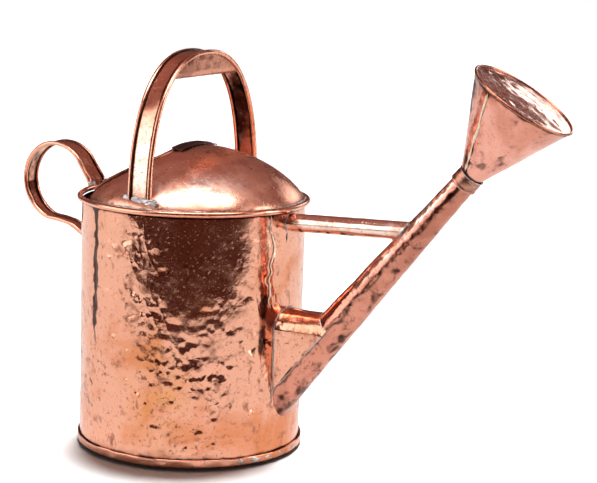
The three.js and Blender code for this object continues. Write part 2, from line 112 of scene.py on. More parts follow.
def lattice(ix, iy, iz, seed):
    h = (ix * 374761393 + iy * 668265263 + iz * 1440662683 + seed * 974711) & 0xFFFFFFFF
    h = ((h ^ (h >> 13)) * 1274126177) & 0xFFFFFFFF
    return ((h ^ (h >> 16)) & 0xFFFF) / 32767.5 - 1


def noise(points, size, seed=0):
    """Smooth noise from -1 to 1 whose features are about size millimetres across."""
    q = np.asarray(points, float) / size
    base = np.floor(q).astype(np.int64)
    f = q - base
    f = f * f * f * (f * (f * 6 - 15) + 10)
    total = np.zeros(q.shape[:-1])
    for corner in range(8):
        step = (corner & 1, (corner >> 1) & 1, corner >> 2)
        weight = np.ones(q.shape[:-1])
        for axis in range(3):
            weight = weight * (f[..., axis] if step[axis] else 1 - f[..., axis])
        total += weight * lattice(*(base[..., axis] + step[axis] for axis in range(3)), seed)
    return total


def ripple(points, size, seed=0, octaves=3):
    return sum(noise(points, size / 2**k, seed + k) / 2**k for k in range(octaves))


# ---- mesh building ----


def hump(value, centre, width, power=2):
    """Bell of height 1 over centre, squarer with a higher power."""
    return np.exp(-(((value - centre) / width) ** power))


def rise(value, start, span):
    """0 at start, climbing to 1 over span, and the other way where span is negative."""
    return np.clip((value - start) / span, 0, 1)


def angles(count):
    """Angles of even steps round a circle."""
    return np.linspace(0, 2 * math.pi, count, endpoint=False)


def wrapped(radius, angle, height):
    """Points about Z from their radius, angle and height."""
    return np.stack([radius * np.cos(angle), radius * np.sin(angle), height], -1)


def tapered(rings, steps):
    """Rings of a sweep, narrower over some steps at both ends."""
    place = np.arange(len(rings))
    return rings * np.clip(np.minimum(place, place[::-1]) / steps, 0.1, 1)[:, None, None]


def end_caps(steps, corners):
    """The first and last ring of a sweep as faces."""
    return [list(range(corners))[::-1], list(range((steps - 1) * corners, steps * corners))]


def even(line, steps):
    """Points at even distances along a line."""
    length = np.concatenate([[0], np.cumsum(np.linalg.norm(np.diff(line, axis=0), axis=1))])
    return np.stack([np.interp(np.linspace(0, length[-1], steps), length, line[:, k]) for k in range(3)], -1)


def linked(name, data):
    obj = bpy.data.objects.new(name, data)
    bpy.context.scene.collection.objects.link(obj)
    return obj


def grid_faces(rows, cols, wrap_rows=False, wrap_cols=False):
    r, c = np.meshgrid(
        np.arange(rows if wrap_rows else rows - 1), np.arange(cols if wrap_cols else cols - 1), indexing="ij"
    )
    r2, c2 = (r + 1) % rows, (c + 1) % cols
    return np.stack([r * cols + c, r * cols + c2, r2 * cols + c2, r2 * cols + c], -1).reshape(-1, 4)


def vertex_normals(points, faces):
    a, b, c, d = (points[faces[:, k]] for k in range(4))
    n = np.cross(c - a, d - b)
    total = np.zeros_like(points)
    for k in range(4):
        np.add.at(total, faces[:, k], n)
    return total / np.maximum(np.linalg.norm(total, axis=1, keepdims=True), 1e-12)


def thicken(points, faces, thickness, inward=None):
    """Gives a sheet its thickness, towards inward where it is given and else against its normals."""
    if inward is None:
        inward = -vertex_normals(points, faces)
    count = len(points)
    edges = np.concatenate([faces[:, [k, (k + 1) % 4]] for k in range(4)])
    key = np.sort(edges, 1)
    _, first, times = np.unique(key[:, 0] * count + key[:, 1], return_index=True, return_counts=True)
    rim = edges[first[times == 1]]
    walls = np.stack([rim[:, 1], rim[:, 0], rim[:, 0] + count, rim[:, 1] + count], -1)
    return (
        np.concatenate([points, points + thickness * inward]),
        np.concatenate([faces, faces[:, ::-1] + count, walls]),
    )


def signed_volume(points, faces):
    a = points[faces[:, 0]]
    total = 0.0
    for k in (1, 2):
        total += np.einsum("ij,ij->", a, np.cross(points[faces[:, k]], points[faces[:, k + 1]]))
    return total


def piece(name, points, faces, material, body, slot, nodes=(), caps=(), sharp=38, **marks):
    """Makes a closed mesh from quads, plus caps given as lists of corners, and puts it on its body.

    marks are shares from 0 to 1 for each point that its material reads: dirt with painted shade, wear, warmth
    and painted highlight.
    """
    points = np.asarray(points, float).reshape(-1, 3)
    if signed_volume(points, faces) < 0:
        faces = faces[:, ::-1]
        caps = [list(c)[::-1] for c in caps]
    mesh = bpy.data.meshes.new(name)
    mesh.from_pydata((points * MM).tolist(), [], faces.tolist() + [list(c) for c in caps])
    for mark, share in marks.items():
        share = np.asarray(share, float).reshape(-1)
        share = np.concatenate([share, share])[: len(points)]
        mesh.attributes.new(mark, "FLOAT", "POINT").data.foreach_set("value", share.astype(np.float32))
    mesh.validate()
    mesh.shade_smooth()
    mesh.set_sharp_from_angle(angle=math.radians(sharp))
    obj = linked(name, mesh)
    mesh.materials.append(material)
    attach(obj, body)
    if nodes:
        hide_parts(*nodes)
    return obj


def swept(path, rings, reference, closed=False):
    """Points and faces of rings (steps x corners x 2) carried along a path.

    Each corner's first offset is along reference, and its second is square to that and to the path.
    """
    reference = np.array(reference, float)
    if closed:
        tangent = np.roll(path, -1, 0) - np.roll(path, 1, 0)
    else:
        tangent = np.gradient(path, axis=0)
    tangent /= np.linalg.norm(tangent, axis=1, keepdims=True)
    side = reference - np.sum(reference * tangent, 1, keepdims=True) * tangent
    side /= np.linalg.norm(side, axis=1, keepdims=True)
    normal = np.cross(tangent, side)
    points = path[:, None] + rings[..., :1] * side[:, None] + rings[..., 1:] * normal[:, None]
    steps, corners = rings.shape[:2]
    faces = grid_faces(steps, corners, wrap_rows=closed, wrap_cols=True)
    caps = [] if closed else end_caps(steps, corners)
    return points.reshape(-1, 3), faces, caps


def round_rings(path, radius, corners=16, lump=0.04, size=14, seed=0):
    """Round sections with slightly uneven radius, as hand-rolled edges have."""
    angle = angles(corners)
    circle = np.stack([np.cos(angle), np.sin(angle)], -1)
    scale = radius * (1 - lump + lump * noise(path, size, seed))
    return np.asarray(scale)[:, None, None] * circle[None]


def revolved(profile, sides, closed=True):
    """Grid of points of a profile of (radius, height) turned about Z, and its faces."""
    profile = np.asarray(profile, float)
    angle = angles(sides)
    ring = np.stack([np.cos(angle), np.sin(angle)], -1)
    points = np.concatenate(
        [profile[:, None, :1] * ring[None], np.broadcast_to(profile[:, None, 1:], (len(profile), sides, 1))], -1
    )
    return points, grid_faces(len(profile), sides, wrap_rows=closed, wrap_cols=True)


def refined(profile, step):
    """A closed profile with its long edges divided."""
    points = []
    for a, b in zip(profile, profile[1:] + profile[:1]):
        a, b = np.array(a, float), np.array(b, float)
        parts = max(1, round(float(np.linalg.norm(b - a)) / step))
        points += [a + (b - a) * k / parts for k in range(parts)]
    return np.array(points)


def rounded(profile, radius, parts=3):
    """A closed profile with each corner cut by a small arc."""
    points = []
    count = len(profile)
    for i in range(count):
        before, here, after = (np.array(profile[(i + k) % count], float) for k in (-1, 0, 1))
        back, ahead = before - here, after - here
        reach = min(radius, 0.45 * np.linalg.norm(back), 0.45 * np.linalg.norm(ahead))
        start = here + back / np.linalg.norm(back) * reach
        end = here + ahead / np.linalg.norm(ahead) * reach
        for k in range(parts + 1):
            t = k / parts
            points.append(tuple((1 - t) ** 2 * start + 2 * t * (1 - t) * here + t * t * end))
    return points


def turn_y(points, degrees):
    c, s = math.cos(math.radians(degrees)), math.sin(math.radians(degrees))
    x, y, z = points[..., 0], points[..., 1], points[..., 2]
    return np.stack([c * x + s * z, y, c * z - s * x], -1)


def turn_z(points, degrees):
    c, s = math.cos(math.radians(degrees)), math.sin(math.radians(degrees))
    x, y, z = points[..., 0], points[..., 1], points[..., 2]
    return np.stack([c * x - s * y, s * x + c * y, z], -1)


def along_spout(points):
    return turn_y(points, 90 - SPOUT_ANGLE) + np.array(SPOUT_FOOT)


def along_rose(points):
    tilted = turn_z(turn_y(points, -ROSE_BEND), ROSE_TURN)
    return along_spout(tilted + np.array([0, 0, ROSE_NECK]))


def place_carry(points):
    return turn_z(points, CARRY_YAW) + np.array([CARRY_SHIFT_X, 0, 0])


def spout_radius(distance):
    return SPOUT_FOOT_RADIUS - SPOUT_TAPER * distance


def spout_frame(points):
    """Distance along the spout's axis and from it."""
    d = np.array([math.cos(math.radians(SPOUT_ANGLE)), 0, math.sin(math.radians(SPOUT_ANGLE))])
    away = points - np.array(SPOUT_FOOT)
    along = away @ d
    return along, np.linalg.norm(away - along[..., None] * d, axis=-1)


def dome_height(radius):
    share = np.clip(np.asarray(radius, float) / HOOD_RADIUS, 0, 1)
    return HOOD_BASE_Z + HOOD_RISE * (1 - share**2) ** HOOD_FULLNESS


def mouth_x(y):
    return MOUTH_X - MOUTH_SWEEP * np.abs(y / MOUTH_HALF_WIDTH) ** MOUTH_POWER


def solve(low, high, inside, rounds=40):
    """Bisects arrays between low, where inside is true, and high, where it is not."""
    low, high = np.array(low, float), np.array(high, float)
    for _ in range(rounds):
        middle = (low + high) / 2
        keep = inside(middle)
        low = np.where(keep, middle, low)
        high = np.where(keep, high, middle)
    return (low + high) / 2


def spline(points, steps):
    """Centripetal Catmull-Rom curve through points, sampled evenly by length."""
    p = np.asarray(points, float)
    p = np.concatenate([[2 * p[0] - p[1]], p, [2 * p[-1] - p[-2]]])
    samples = []
    for i in range(len(p) - 3):
        q = p[i : i + 4]
        knot = np.concatenate([[0], np.cumsum(np.linalg.norm(np.diff(q, axis=0), axis=1) ** 0.5)])
        t = np.linspace(knot[1], knot[2], 24, endpoint=i == len(p) - 4)[:, None]
        level = [q[k] + (q[k + 1] - q[k]) * (t - knot[k]) / (knot[k + 1] - knot[k]) for k in range(3)]
        level = [
            level[k] + (level[k + 1] - level[k]) * (t - knot[k]) / (knot[k + 2] - knot[k]) for k in range(2)
        ]
        samples.append(level[0] + (level[1] - level[0]) * (t - knot[1]) / (knot[2] - knot[1]))
    return even(np.concatenate(samples), steps)


# ---- materials ----

BRIGHT = (0.88, 0.425, 0.285)
STAIN = (0.74, 0.26, 0.12)
BROWN = (0.26, 0.085, 0.05)
PURPLE = (0.24, 0.09, 0.075)
PLUM = (0.30, 0.12, 0.10)
DARK = (0.07, 0.028, 0.02)


def shader(name):
    material = bpy.data.materials.new(name)
    material.use_nodes = True
    tree = material.node_tree
    return material, tree, tree.nodes["Principled BSDF"]


def node(tree, kind, inputs=None, **settings):
    made = tree.nodes.new(kind)
    for key, value in settings.items():
        setattr(made, key, value)
    for key, value in (inputs or {}).items():
        if isinstance(value, bpy.types.NodeSocket):
            tree.links.new(value, made.inputs[key])
        else:
            made.inputs[key].default_value = value
    return made


def noise_node(tree, where, scale, detail=4, roughness=0.55, distortion=0.0):
    made = node(
        tree,
        "ShaderNodeTexNoise",
        {"Vector": where, "Scale": scale, "Detail": detail, "Roughness": roughness, "Distortion": distortion},
    )
    return made.outputs["Fac"]


def between(tree, value, low, high, to_low=0.0, to_high=1.0):
    made = node(
        tree,
        "ShaderNodeMapRange",
        {"Value": value, "From Min": low, "From Max": high, "To Min": to_low, "To Max": to_high},
        interpolation_type="SMOOTHSTEP",
    )
    return made.outputs["Result"]


def blend(tree, factor, first, second):
    made = node(tree, "ShaderNodeMix", data_type="RGBA")
    for index, value in ((0, factor), (6, first), (7, second)):
        if isinstance(value, bpy.types.NodeSocket):
            tree.links.new(value, made.inputs[index])
        else:
            made.inputs[index].default_value = value if index == 0 else (*value, 1)
    return made.outputs[2]


def maths(tree, operation, first, second):
    return node(tree, "ShaderNodeMath", {0: first, 1: second}, operation=operation).outputs[0]


def mark(tree, name):
    return node(tree, "ShaderNodeAttribute", attribute_name=name).outputs["Fac"]


def bump(tree, strength, distance, height, under=None):
    inputs = {"Strength": strength, "Distance": distance, "Height": height}
    if under is not None:
        inputs["Normal"] = under
    return node(tree, "ShaderNodeBump", inputs).outputs["Normal"]


def metal(tree, surface, **links):
    """Makes a surface metal and gives it its colour, roughness and normal."""
    surface.inputs["Metallic"].default_value = 1
    for key, name in (("colour", "Base Color"), ("gloss", "Roughness"), ("normal", "Normal")):
        tree.links.new(links[key], surface.inputs[name])


def copper(name, bright, stain, dark, rough, stained=0.5, mottled=0.5, hammer=1.0):
    """Copper with stains, mottling, specks and a hammered, uneven surface.

    It reads four marks: worn (dented and freckled), warm (orange), painted highlight (pale) and dirt with
    painted shade (dark).
    """
    material, tree, surface = shader(name)
    where = node(tree, "ShaderNodeTexCoord").outputs["Object"]
    large = noise_node(tree, where, 14, 5, 0.6, 0.4)
    medium = noise_node(tree, where, 75, 6, 0.66, 0.6)
    fine = noise_node(tree, where, 430, 3, 0.6)
    stains = between(tree, large, 0.62 - 0.25 * stained, 0.80 - 0.2 * stained)
    worn = mark(tree, "worn")
    blotched = maths(tree, "ADD", medium, maths(tree, "MULTIPLY", worn, 0.07))
    mottles = between(tree, blotched, 0.57, 0.74, 0, mottled)
    specks = between(tree, fine, 0.63, 0.72, 0, 0.8)
    colour = blend(tree, stains, bright, stain)
    colour = blend(tree, maths(tree, "MULTIPLY", mark(tree, "warm"), 0.85), colour, (0.80, 0.33, 0.11))
    colour = blend(tree, mottles, colour, dark)
    # painted highlight: this mark blends the copper towards a near-white pink, broken up by the medium noise
    pale = maths(tree, "MULTIPLY", mark(tree, "pale"), between(tree, medium, 0.62, 0.45, 0.35, 1))
    colour = blend(tree, pale, colour, (0.97, 0.76, 0.66))
    colour = blend(tree, specks, colour, dark)
    # darkening: real grime from the noise plus the dark mark, which on some parts carries painted shade and
    # painted dark reflections
    darkening = maths(tree, "ADD", mark(tree, "dirt"), maths(tree, "SUBTRACT", medium, 0.55))
    colour = blend(tree, between(tree, darkening, 0.25, 0.7), colour, DARK)
    freckles = between(tree, noise_node(tree, where, 210, 4, 0.6), 0.57, 0.67)
    freckled = maths(tree, "ADD", maths(tree, "MULTIPLY", worn, 0.6), 0.3)
    freckles = maths(tree, "MULTIPLY", freckles, freckled)
    colour = blend(tree, freckles, colour, dark)
    gloss = between(tree, noise_node(tree, where, 38, 5, 0.65), 0.35, 0.7, rough, rough + 0.14)
    gloss = maths(tree, "ADD", gloss, maths(tree, "MULTIPLY", specks, 0.15))
    lumps = noise_node(tree, where, 55, 3, 0.5, 0.3)
    normal = bump(tree, 0.35 * hammer, 0.0011, lumps)
    drift = node(tree, "ShaderNodeTexNoise", {"Vector": where, "Scale": 60, "Detail": 2}).outputs["Color"]
    bent = node(tree, "ShaderNodeVectorMath", {0: drift, "Scale": 0.009}, operation="SCALE").outputs[0]
    bent = node(tree, "ShaderNodeVectorMath", {0: where, 1: bent}, operation="ADD").outputs[0]
    bent = node(tree, "ShaderNodeMapping", {"Vector": bent, "Scale": (1.3, 1.3, 0.85)}).outputs["Vector"]
    cells, broad = (
        node(tree, "ShaderNodeTexVoronoi", {"Vector": bent, "Scale": size, "Randomness": 1}).outputs["Distance"]
        for size in (125, 43)
    )
    knocks = maths(tree, "ADD", cells, maths(tree, "MULTIPLY", maths(tree, "POWER", broad, 2.0), 0.6))
    patch = between(tree, noise_node(tree, where, 32, 3, 0.6), 0.38, 0.62, 0.3, 1)
    beaten = maths(tree, "MULTIPLY", maths(tree, "MULTIPLY", worn, patch), 0.7)
    power = maths(tree, "ADD", beaten, 0.05 * hammer)
    normal = bump(tree, power, 0.0012, knocks, normal)
    grain = maths(tree, "MULTIPLY", noise_node(tree, where, 300, 4, 0.65), 0.5)
    pits = maths(tree, "SUBTRACT", grain, specks)
    metal(tree, surface, colour=colour, gloss=gloss, normal=bump(tree, 0.3, 0.0004, pits, normal))
    return material


def soldered(name):
    material, tree, surface = shader(name)
    where = node(tree, "ShaderNodeTexCoord").outputs["Object"]
    tone = noise_node(tree, where, 120, 5, 0.6)
    darkening = between(tree, noise_node(tree, where, 260, 4, 0.6), 0.55, 0.72)
    colour = blend(tree, between(tree, tone, 0.35, 0.68), (0.62, 0.61, 0.60), (0.36, 0.35, 0.35))
    colour = blend(tree, darkening, colour, (0.10, 0.07, 0.06))
    gloss = between(tree, tone, 0.3, 0.7, 0.24, 0.5)
    lumps = noise_node(tree, where, 330, 4, 0.6)
    metal(tree, surface, colour=colour, gloss=gloss, normal=bump(tree, 0.6, 0.0006, lumps))
    return material


hammered = copper("hammered_copper", BRIGHT, STAIN, BROWN, 0.07, 0.6, 0.75, 1.0)
hood_copper = copper("hood_copper", BRIGHT, (0.72, 0.29, 0.18), BROWN, 0.23, 0.55, 0.5, 0.7)
polished = copper("polished_copper", BRIGHT, (0.78, 0.31, 0.19), BROWN, 0.12, 0.4, 0.45, 0.45)
rolled = copper("rolled_copper", BRIGHT, (0.66, 0.27, 0.17), DARK, 0.16, 0.5, 0.6, 0.35)
shaded = copper("shaded_copper", (0.70, 0.30, 0.19), (0.40, 0.15, 0.09), DARK, 0.2, 0.7, 0.7, 0.6)
face_copper = copper("face_copper", (0.82, 0.38, 0.26), (0.50, 0.20, 0.13), BROWN, 0.14, 0.6, 0.6, 0.9)
dark_copper = copper("dark_copper", (0.32, 0.12, 0.075), (0.13, 0.05, 0.035), DARK, 0.24, 0.8, 0.8, 0.6)
socket_copper = copper("socket_copper", (0.50, 0.24, 0.17), (0.26, 0.11, 0.08), DARK, 0.2, 0.7, 0.8, 0.6)
dull = copper("dull_copper", (0.34, 0.15, 0.10), (0.18, 0.08, 0.055), (0.05, 0.03, 0.025), 0.45, 0.8, 0.8, 0.6)
spout_copper = copper("spout_copper", (0.70, 0.29, 0.20), (0.46, 0.17, 0.11), PURPLE, 0.14, 0.8, 0.95, 1.0)
cone_copper = copper("rose_copper", (0.88, 0.43, 0.33), (0.68, 0.28, 0.19), PLUM, 0.16, 0.8, 0.85, 0.8)
brazed = copper("brazed_seam", (1.0, 0.88, 0.70), (0.98, 0.68, 0.42), BROWN, 0.5, 0.35, 0.1, 0.3)
solder = soldered("solder")

# ---- body ----

SEAM_AT = -15.2


def body_dents(u, z, seed=11, count=340):
    """Depth in millimetres of scattered hammer blows and knocks on the unrolled wall."""
    rng = np.random.default_rng(seed)
    depth = np.zeros_like(u)
    around = 2 * math.pi * BODY_RADIUS
    for _ in range(count):
        cu, cz = rng.uniform(0, around), rng.uniform(8, 236)
        if rng.random() < 0.6:
            cz = rng.normal(75, 42)
        wide, tall = rng.uniform(2.8, 5.5), rng.uniform(3.2, 8.0)
        turn = rng.uniform(-0.9, 0.9)
        amount = rng.uniform(0.1, 0.62) * rng.choice([1, 1, 1, -0.5])
        du = (u - cu + around / 2) % around - around / 2
        dz = z - cz
        a = (du * math.cos(turn) + dz * math.sin(turn)) / wide
        b = (dz * math.cos(turn) - du * math.sin(turn)) / tall
        near = (np.abs(a) < 3) & (np.abs(b) < 3)
        skew = 1 + 0.9 * np.tanh(2.5 * b[near])
        depth[near] += amount * skew * np.exp(-(a[near] ** 2) - b[near] ** 2)
    for _ in range(110):
        cu, cz = around * (0.81 + rng.normal(0, 0.05)), rng.uniform(18, 160)
        size, amount = rng.uniform(2.0, 3.8), rng.uniform(0.25, 0.7)
        du = (u - cu + around / 2) % around - around / 2
        a, b = du / size, (z - cz) / (0.8 * size)
        near = (np.abs(a) < 3) & (np.abs(b) < 3)
        depth[near] += amount * np.exp(-(a[near] ** 2) - b[near] ** 2)
    return depth


def seam_angle(z, middle, sway, seed):
    """Angle of a wandering upright seam, in radians."""
    line = np.stack([z, 0 * z, 0 * z], -1)
    return np.radians(middle + sway * (noise(line, 21, seed) + 0.5 * noise(line, 7, seed + 1)))


def make_body():
    sides, levels = 380, 124
    angle = angles(sides)
    height = np.linspace(BODY_FOOT_Z, RIM_Z - RIM_BEAD_RADIUS, levels)
    z, a = np.meshgrid(height, angle, indexing="ij")
    base = wrapped(BODY_RADIUS, a, z)
    quiet = rise(z, 6, 14) * rise(z, 238, -14)
    wave = 0.28 * ripple(base, 46, 3) + 0.13 * ripple(base * [1, 1, 1.3], 15, 8, 2)
    fine = 0.15 * ripple(base * [1, 1, 0.8], 6.0, 19, 2) * np.clip((190 - z) / 60, 0.25, 1)
    depth = (body_dents(a * BODY_RADIUS, z) + wave + fine + 0.15) * quiet
    turn = (a + math.pi) % (2 * math.pi) - math.pi
    degrees = np.degrees(turn)
    near_spout = hump(turn, 0, 0.22, 4)
    depth *= 1 - 0.8 * near_spout * (z < 160)
    depth *= 1 - 0.55 * rise(z, 150, 30) * hump(degrees, -52, 26, 4)
    lap = turn - seam_angle(z, SEAM_AT, 2.2, 3)
    beside = np.clip((z - 148) / 6, 0.15, 1)
    depth += quiet * beside * (0.5 * hump(lap, 0, 0.018) - 0.35 * (lap > 0) * np.exp(-lap / 0.09))
    crease = (turn - seam_angle(z, -114.5, 1.3, 9)) * BODY_RADIUS
    upper = rise(z, 95, 40)
    depth += quiet * upper * 0.55 * hump(crease, 0, 2.6) * (0.75 + 0.5 * noise(base, 13, 4))
    level = z / 240 + 0.18 * ripple(base, 40, 61)
    worn = np.clip(0.7 * ripple(base, 30, 77) + 1.0 - 1.3 * np.abs(level - 0.3) / 0.36, 0, 1)
    worn = np.maximum(worn, 0.22 + 0.3 * ripple(base, 20, 5)) * quiet
    calm = rise(z, 158, 20) * hump(degrees, -47, 21, 4)
    mottled = rise(z, 105, 25) * hump(degrees, -80, 12, 4)
    worn = np.clip(worn * (1 - 0.7 * calm) + 0.75 * mottled * quiet, 0, 1)
    warm = hump(degrees, -72, 13) * hump(z, 62, 50) * (0.7 + 0.6 * ripple(base, 18, 2))
    dirt = 0.5 * beside * hump(lap * BODY_RADIUS, 0, 2.6)
    dirt += 1.2 * upper * hump(crease, 0, 3.4 + 2.8 * noise(base, 7, 14))
    # painted reflection: a dark strip down the wall beside the breast stands for the breast mirrored in the
    # wall
    painted_reflection_strip = hump(degrees, -19, 3, 4) * rise(z, 92, 22) * rise(z, 176, -12)
    dirt += painted_reflection_strip * (0.62 + 0.35 * ripple(base, 16, 92))
    dirt += 0.34 * rise(z, 130, 25) * hump(degrees, -78, 7) * ripple(base, 14, 15)
    # painted shade: darker just above the base band and just under the rolled rim, where the wall meets them
    dirt += 0.75 * np.exp(-((z - 11.6) / 2.2)) + 0.5 * np.exp(-(242.5 - z) / 2.0)
    radius = BODY_RADIUS - np.clip(depth, -0.25, 1.4)
    points = wrapped(radius, a, z).reshape(-1, 3)
    faces = grid_faces(levels, sides, wrap_cols=True)
    tall = INLET_RADIUS / math.cos(math.radians(SPOUT_ANGLE))
    reach = np.hypot(points[:, 1] / INLET_RADIUS, (points[:, 2] - SPOUT_FOOT[2]) / tall)
    reach = np.where(points[:, 0] > 0, reach, 9)
    faces = faces[~np.all(reach[faces] < 1, axis=1)]
    pushed = (reach < 1) & (reach > 0.3)
    grow = np.where(pushed, 1 / np.maximum(reach, 0.01), 1)
    points[:, 1] *= grow
    points[:, 2] = SPOUT_FOOT[2] + (points[:, 2] - SPOUT_FOOT[2]) * grow
    points[pushed, 0] = np.sqrt(BODY_RADIUS**2 - points[pushed, 1] ** 2)
    inward = -points * [1, 1, 0] / np.linalg.norm(points[:, :2], axis=1)[:, None]
    points, faces = thicken(points, faces, SHEET, inward)
    marks = {"dirt": np.clip(dirt, 0, 1), "worn": worn, "warm": np.clip(warm, 0, 1)}
    piece("wall", points, faces, hammered, "can", "hammered_copper", ["body_shell"], **marks)

    z = np.linspace(153, 243.6, 150)
    angle = seam_angle(z, SEAM_AT, 2.2, 3)
    radius = BODY_RADIUS + 0.05
    path = wrapped(radius, angle, z)
    rings = tapered(round_rings(path, 1.35, 10, 0.4, 5, 25), 8) * [0.5, 1.2]
    points, faces, caps = swept(path, rings, [math.cos(angle[0]), math.sin(angle[0]), 0])
    piece("body_seam", points, faces, brazed, "can", "solder", (), caps)


def ring_path(radius, z, steps):
    angle = angles(steps)
    return wrapped(radius, angle, np.full(steps, float(z)))


def make_rims():
    path = ring_path(RIM_BEAD_CENTRE - 0.05, RIM_Z, 360)
    path[:, 2] += 0.25 * noise(path, 60, 5)
    rings = round_rings(path, RIM_BEAD_RADIUS, 16, 0.05, 18, 2)
    points, faces, _ = swept(path, rings, (0, 0, 1.0), True)
    piece("rolled_rim", points, faces, rolled, "can", "polished_copper", ["rim_bead"])

    inner = BODY_RADIUS + 0.05
    profile = refined(rounded([(inner, 4), (112, 4), (112, 11.3), (inner, 11.3)], 0.7), 1.2)
    points, faces = revolved(profile, 420)
    away = points[..., :2] / np.linalg.norm(points[..., :2], axis=-1, keepdims=True)
    uneven = 0.3 * ripple(points, 17, 21) + 0.16 * noise(points, 5, 4)
    outer = (profile[:, 0] > inner + 0.4)[:, None]
    points[..., :2] += away * np.where(outer, np.clip(uneven, -0.8, 0.45), 0)[..., None]
    points[..., 2] += np.where(profile[:, 1] > 9, 0.6, 0)[:, None] * ripple(points, 24, 31, 2)
    piece("base_band", points.reshape(-1, 3), faces, hammered, "can", "hammered_copper", ["foot_band"])

    flange = BODY_RADIUS - SHEET - 0.3
    profile = [
        (0.4, 0), (98, 0), (105.5, 4.5), (flange, 9), (flange, 18), (flange - SHEET, 18),
        (flange - SHEET, 9.5), (105, 5.4), (97.5, SHEET), (0.4, SHEET),
    ]
    points, faces = revolved(refined(profile, 6), 180)
    radius = np.linalg.norm(points[..., :2], axis=-1)
    points[..., 2] += rise(radius, 90, -40) * (0.35 + 0.3 * noise(points, 40, 6))
    piece("pan", points.reshape(-1, 3), faces, dull, "can", "dull_copper", ["bottom_pan"])


# ---- hood ----


def make_hood():
    rows, cols = 180, 130
    turn = np.linspace(-0.4999, 0.4999, rows) * math.pi
    y = HOOD_RADIUS * np.sin(turn)
    reach = np.sqrt(np.maximum(HOOD_RADIUS**2 - y**2, 0))
    back = np.maximum(mouth_x(y), -reach)
    share = (1 - np.cos(np.linspace(0, math.pi, cols))) / 2
    x = back[:, None] + (reach - back)[:, None] * share[None]
    yy = np.broadcast_to(y[:, None], x.shape)
    radius = np.minimum(np.hypot(x, yy), HOOD_RADIUS)
    flat = np.stack([x, yy, np.zeros_like(x)], -1)
    quiet = rise(radius, HOOD_RADIUS, -18)
    drop = quiet * (0.35 + 0.3 * ripple(flat, 40, 14) + 0.12 * ripple(flat, 13, 5, 2))
    z = dome_height(radius) - np.clip(drop, 0, 1.2)
    points = np.stack([x, yy, z], -1).reshape(-1, 3)
    faces = grid_faces(rows, cols)
    sheet, sheet_faces = thicken(points, faces, SHEET)
    sheet[:, 2] = np.minimum(sheet[:, 2], HOOD_BASE_Z + HOOD_RISE)
    corner = math.acos(-63.5 / HOOD_RADIUS)
    around = np.linspace(-corner, corner, 260)
    band = [
        (HOOD_RADIUS - SHEET, HOOD_FOOT_Z), (HOOD_RADIUS, HOOD_FOOT_Z),
        (HOOD_RADIUS, HOOD_BASE_Z + 0.6), (HOOD_RADIUS - SHEET, HOOD_BASE_Z + 0.6),
    ]
    flange = np.array([[(r * math.cos(t), r * math.sin(t), h) for r, h in band] for t in around])
    flange_faces = grid_faces(len(around), 4, wrap_cols=True)
    if signed_volume(flange.reshape(-1, 3), flange_faces) * signed_volume(sheet, sheet_faces) < 0:
        flange_faces = flange_faces[:, ::-1]
    shift = len(sheet)
    last = shift + flange.shape[0] * 4
    ends = [[shift, shift + 1, shift + 2, shift + 3], [last - 1, last - 2, last - 3, last - 4]]
    points = np.concatenate([sheet, flange.reshape(-1, 3)])
    faces = np.concatenate([sheet_faces, flange_faces + shift])
    # painted reflection: the crown is darkened where the dome would mirror the dark room behind; the hood is
    # also darker within a few millimetres of its outer edge
    crown = 0.52 * hump(x, -10, 46) * hump(yy, 0, 62) + 0.12 * ripple(flat, 30, 44)
    painted_crown_and_dark_edge = crown + 0.6 * np.exp(-(HOOD_RADIUS - radius) / 2.5)
    painted_crown_and_dark_edge = np.concatenate([painted_crown_and_dark_edge.ravel(), painted_crown_and_dark_edge.ravel(), np.zeros(flange.shape[0] * 4)])
    # painted highlight: a pale band across the lower front of the dome, where the overhead softbox is mirrored
    front = hump(np.degrees(np.arctan2(yy, x)), -62, 48, 4)
    pale = 0.95 * front * hump(radius, 84, 20) * (0.85 + 0.5 * ripple(flat, 26, 71))
    pale = np.clip(np.concatenate([pale.ravel(), pale.ravel(), np.zeros(flange.shape[0] * 4)]), 0, 1)
    piece("half_hood", points, faces, hood_copper, "can", "polished_copper", ["hood"], ends,
          dirt=painted_crown_and_dark_edge, pale=pale)


def mouth_edge(steps, inset=0.3):
    share = np.linspace(-0.5, 0.5, steps)
    y = HOOD_BEAD_HALF_SPAN * np.sin(share * math.pi)
    slope = (mouth_x(y + 0.1) - mouth_x(y - 0.1)) / 0.2
    away = (HOOD_BEAD_RADIUS + inset) / np.hypot(1, slope)
    x, side = mouth_x(y) - away, y + slope * away
    return np.stack([x, side, dome_height(np.hypot(x, side)) - SHEET / 2], -1)


def make_hood_edge():
    path = mouth_edge(220, 0.1)
    rings = round_rings(path, HOOD_BEAD_RADIUS, 16, 0.06, 16, 9)
    points, faces, caps = swept(path, rings, (0.2, 0, 1.0))
    piece("mouth_rim", points, faces, dark_copper, "can", "shaded_copper", ["hood_edge_bead"], caps)

    y, x = np.meshgrid(np.linspace(-31, 31, 90), np.linspace(-6.9, 5.9, 26), indexing="ij")
    ragged = 0.9 * ripple(np.stack([0 * x, y, 0 * x], -1), 11, 3)
    x = x + rise(x, 0, 6) * np.clip(ragged, -1.6, 0)
    flat = np.stack([x, y, 0 * x], -1)
    over = 1 / (1 + np.exp((x + 0.5) * 1.3))
    z = dome_height(np.hypot(x, y)) + STRAP_THICKNESS + 0.1 + 1.3 * over + 0.2 * ripple(flat, 14, 12)
    points = np.stack([x, y, z], -1).reshape(-1, 3)
    points, faces = thicken(points, grid_faces(90, 26), STRAP_THICKNESS, np.array([[0, 0, -1.0]]))
    piece("crown_strip", points, faces, dark_copper, "can", "shaded_copper", ["hood_crown_strip"],
          dirt=np.full(len(points), 0.8))


# ---- carrying handle ----


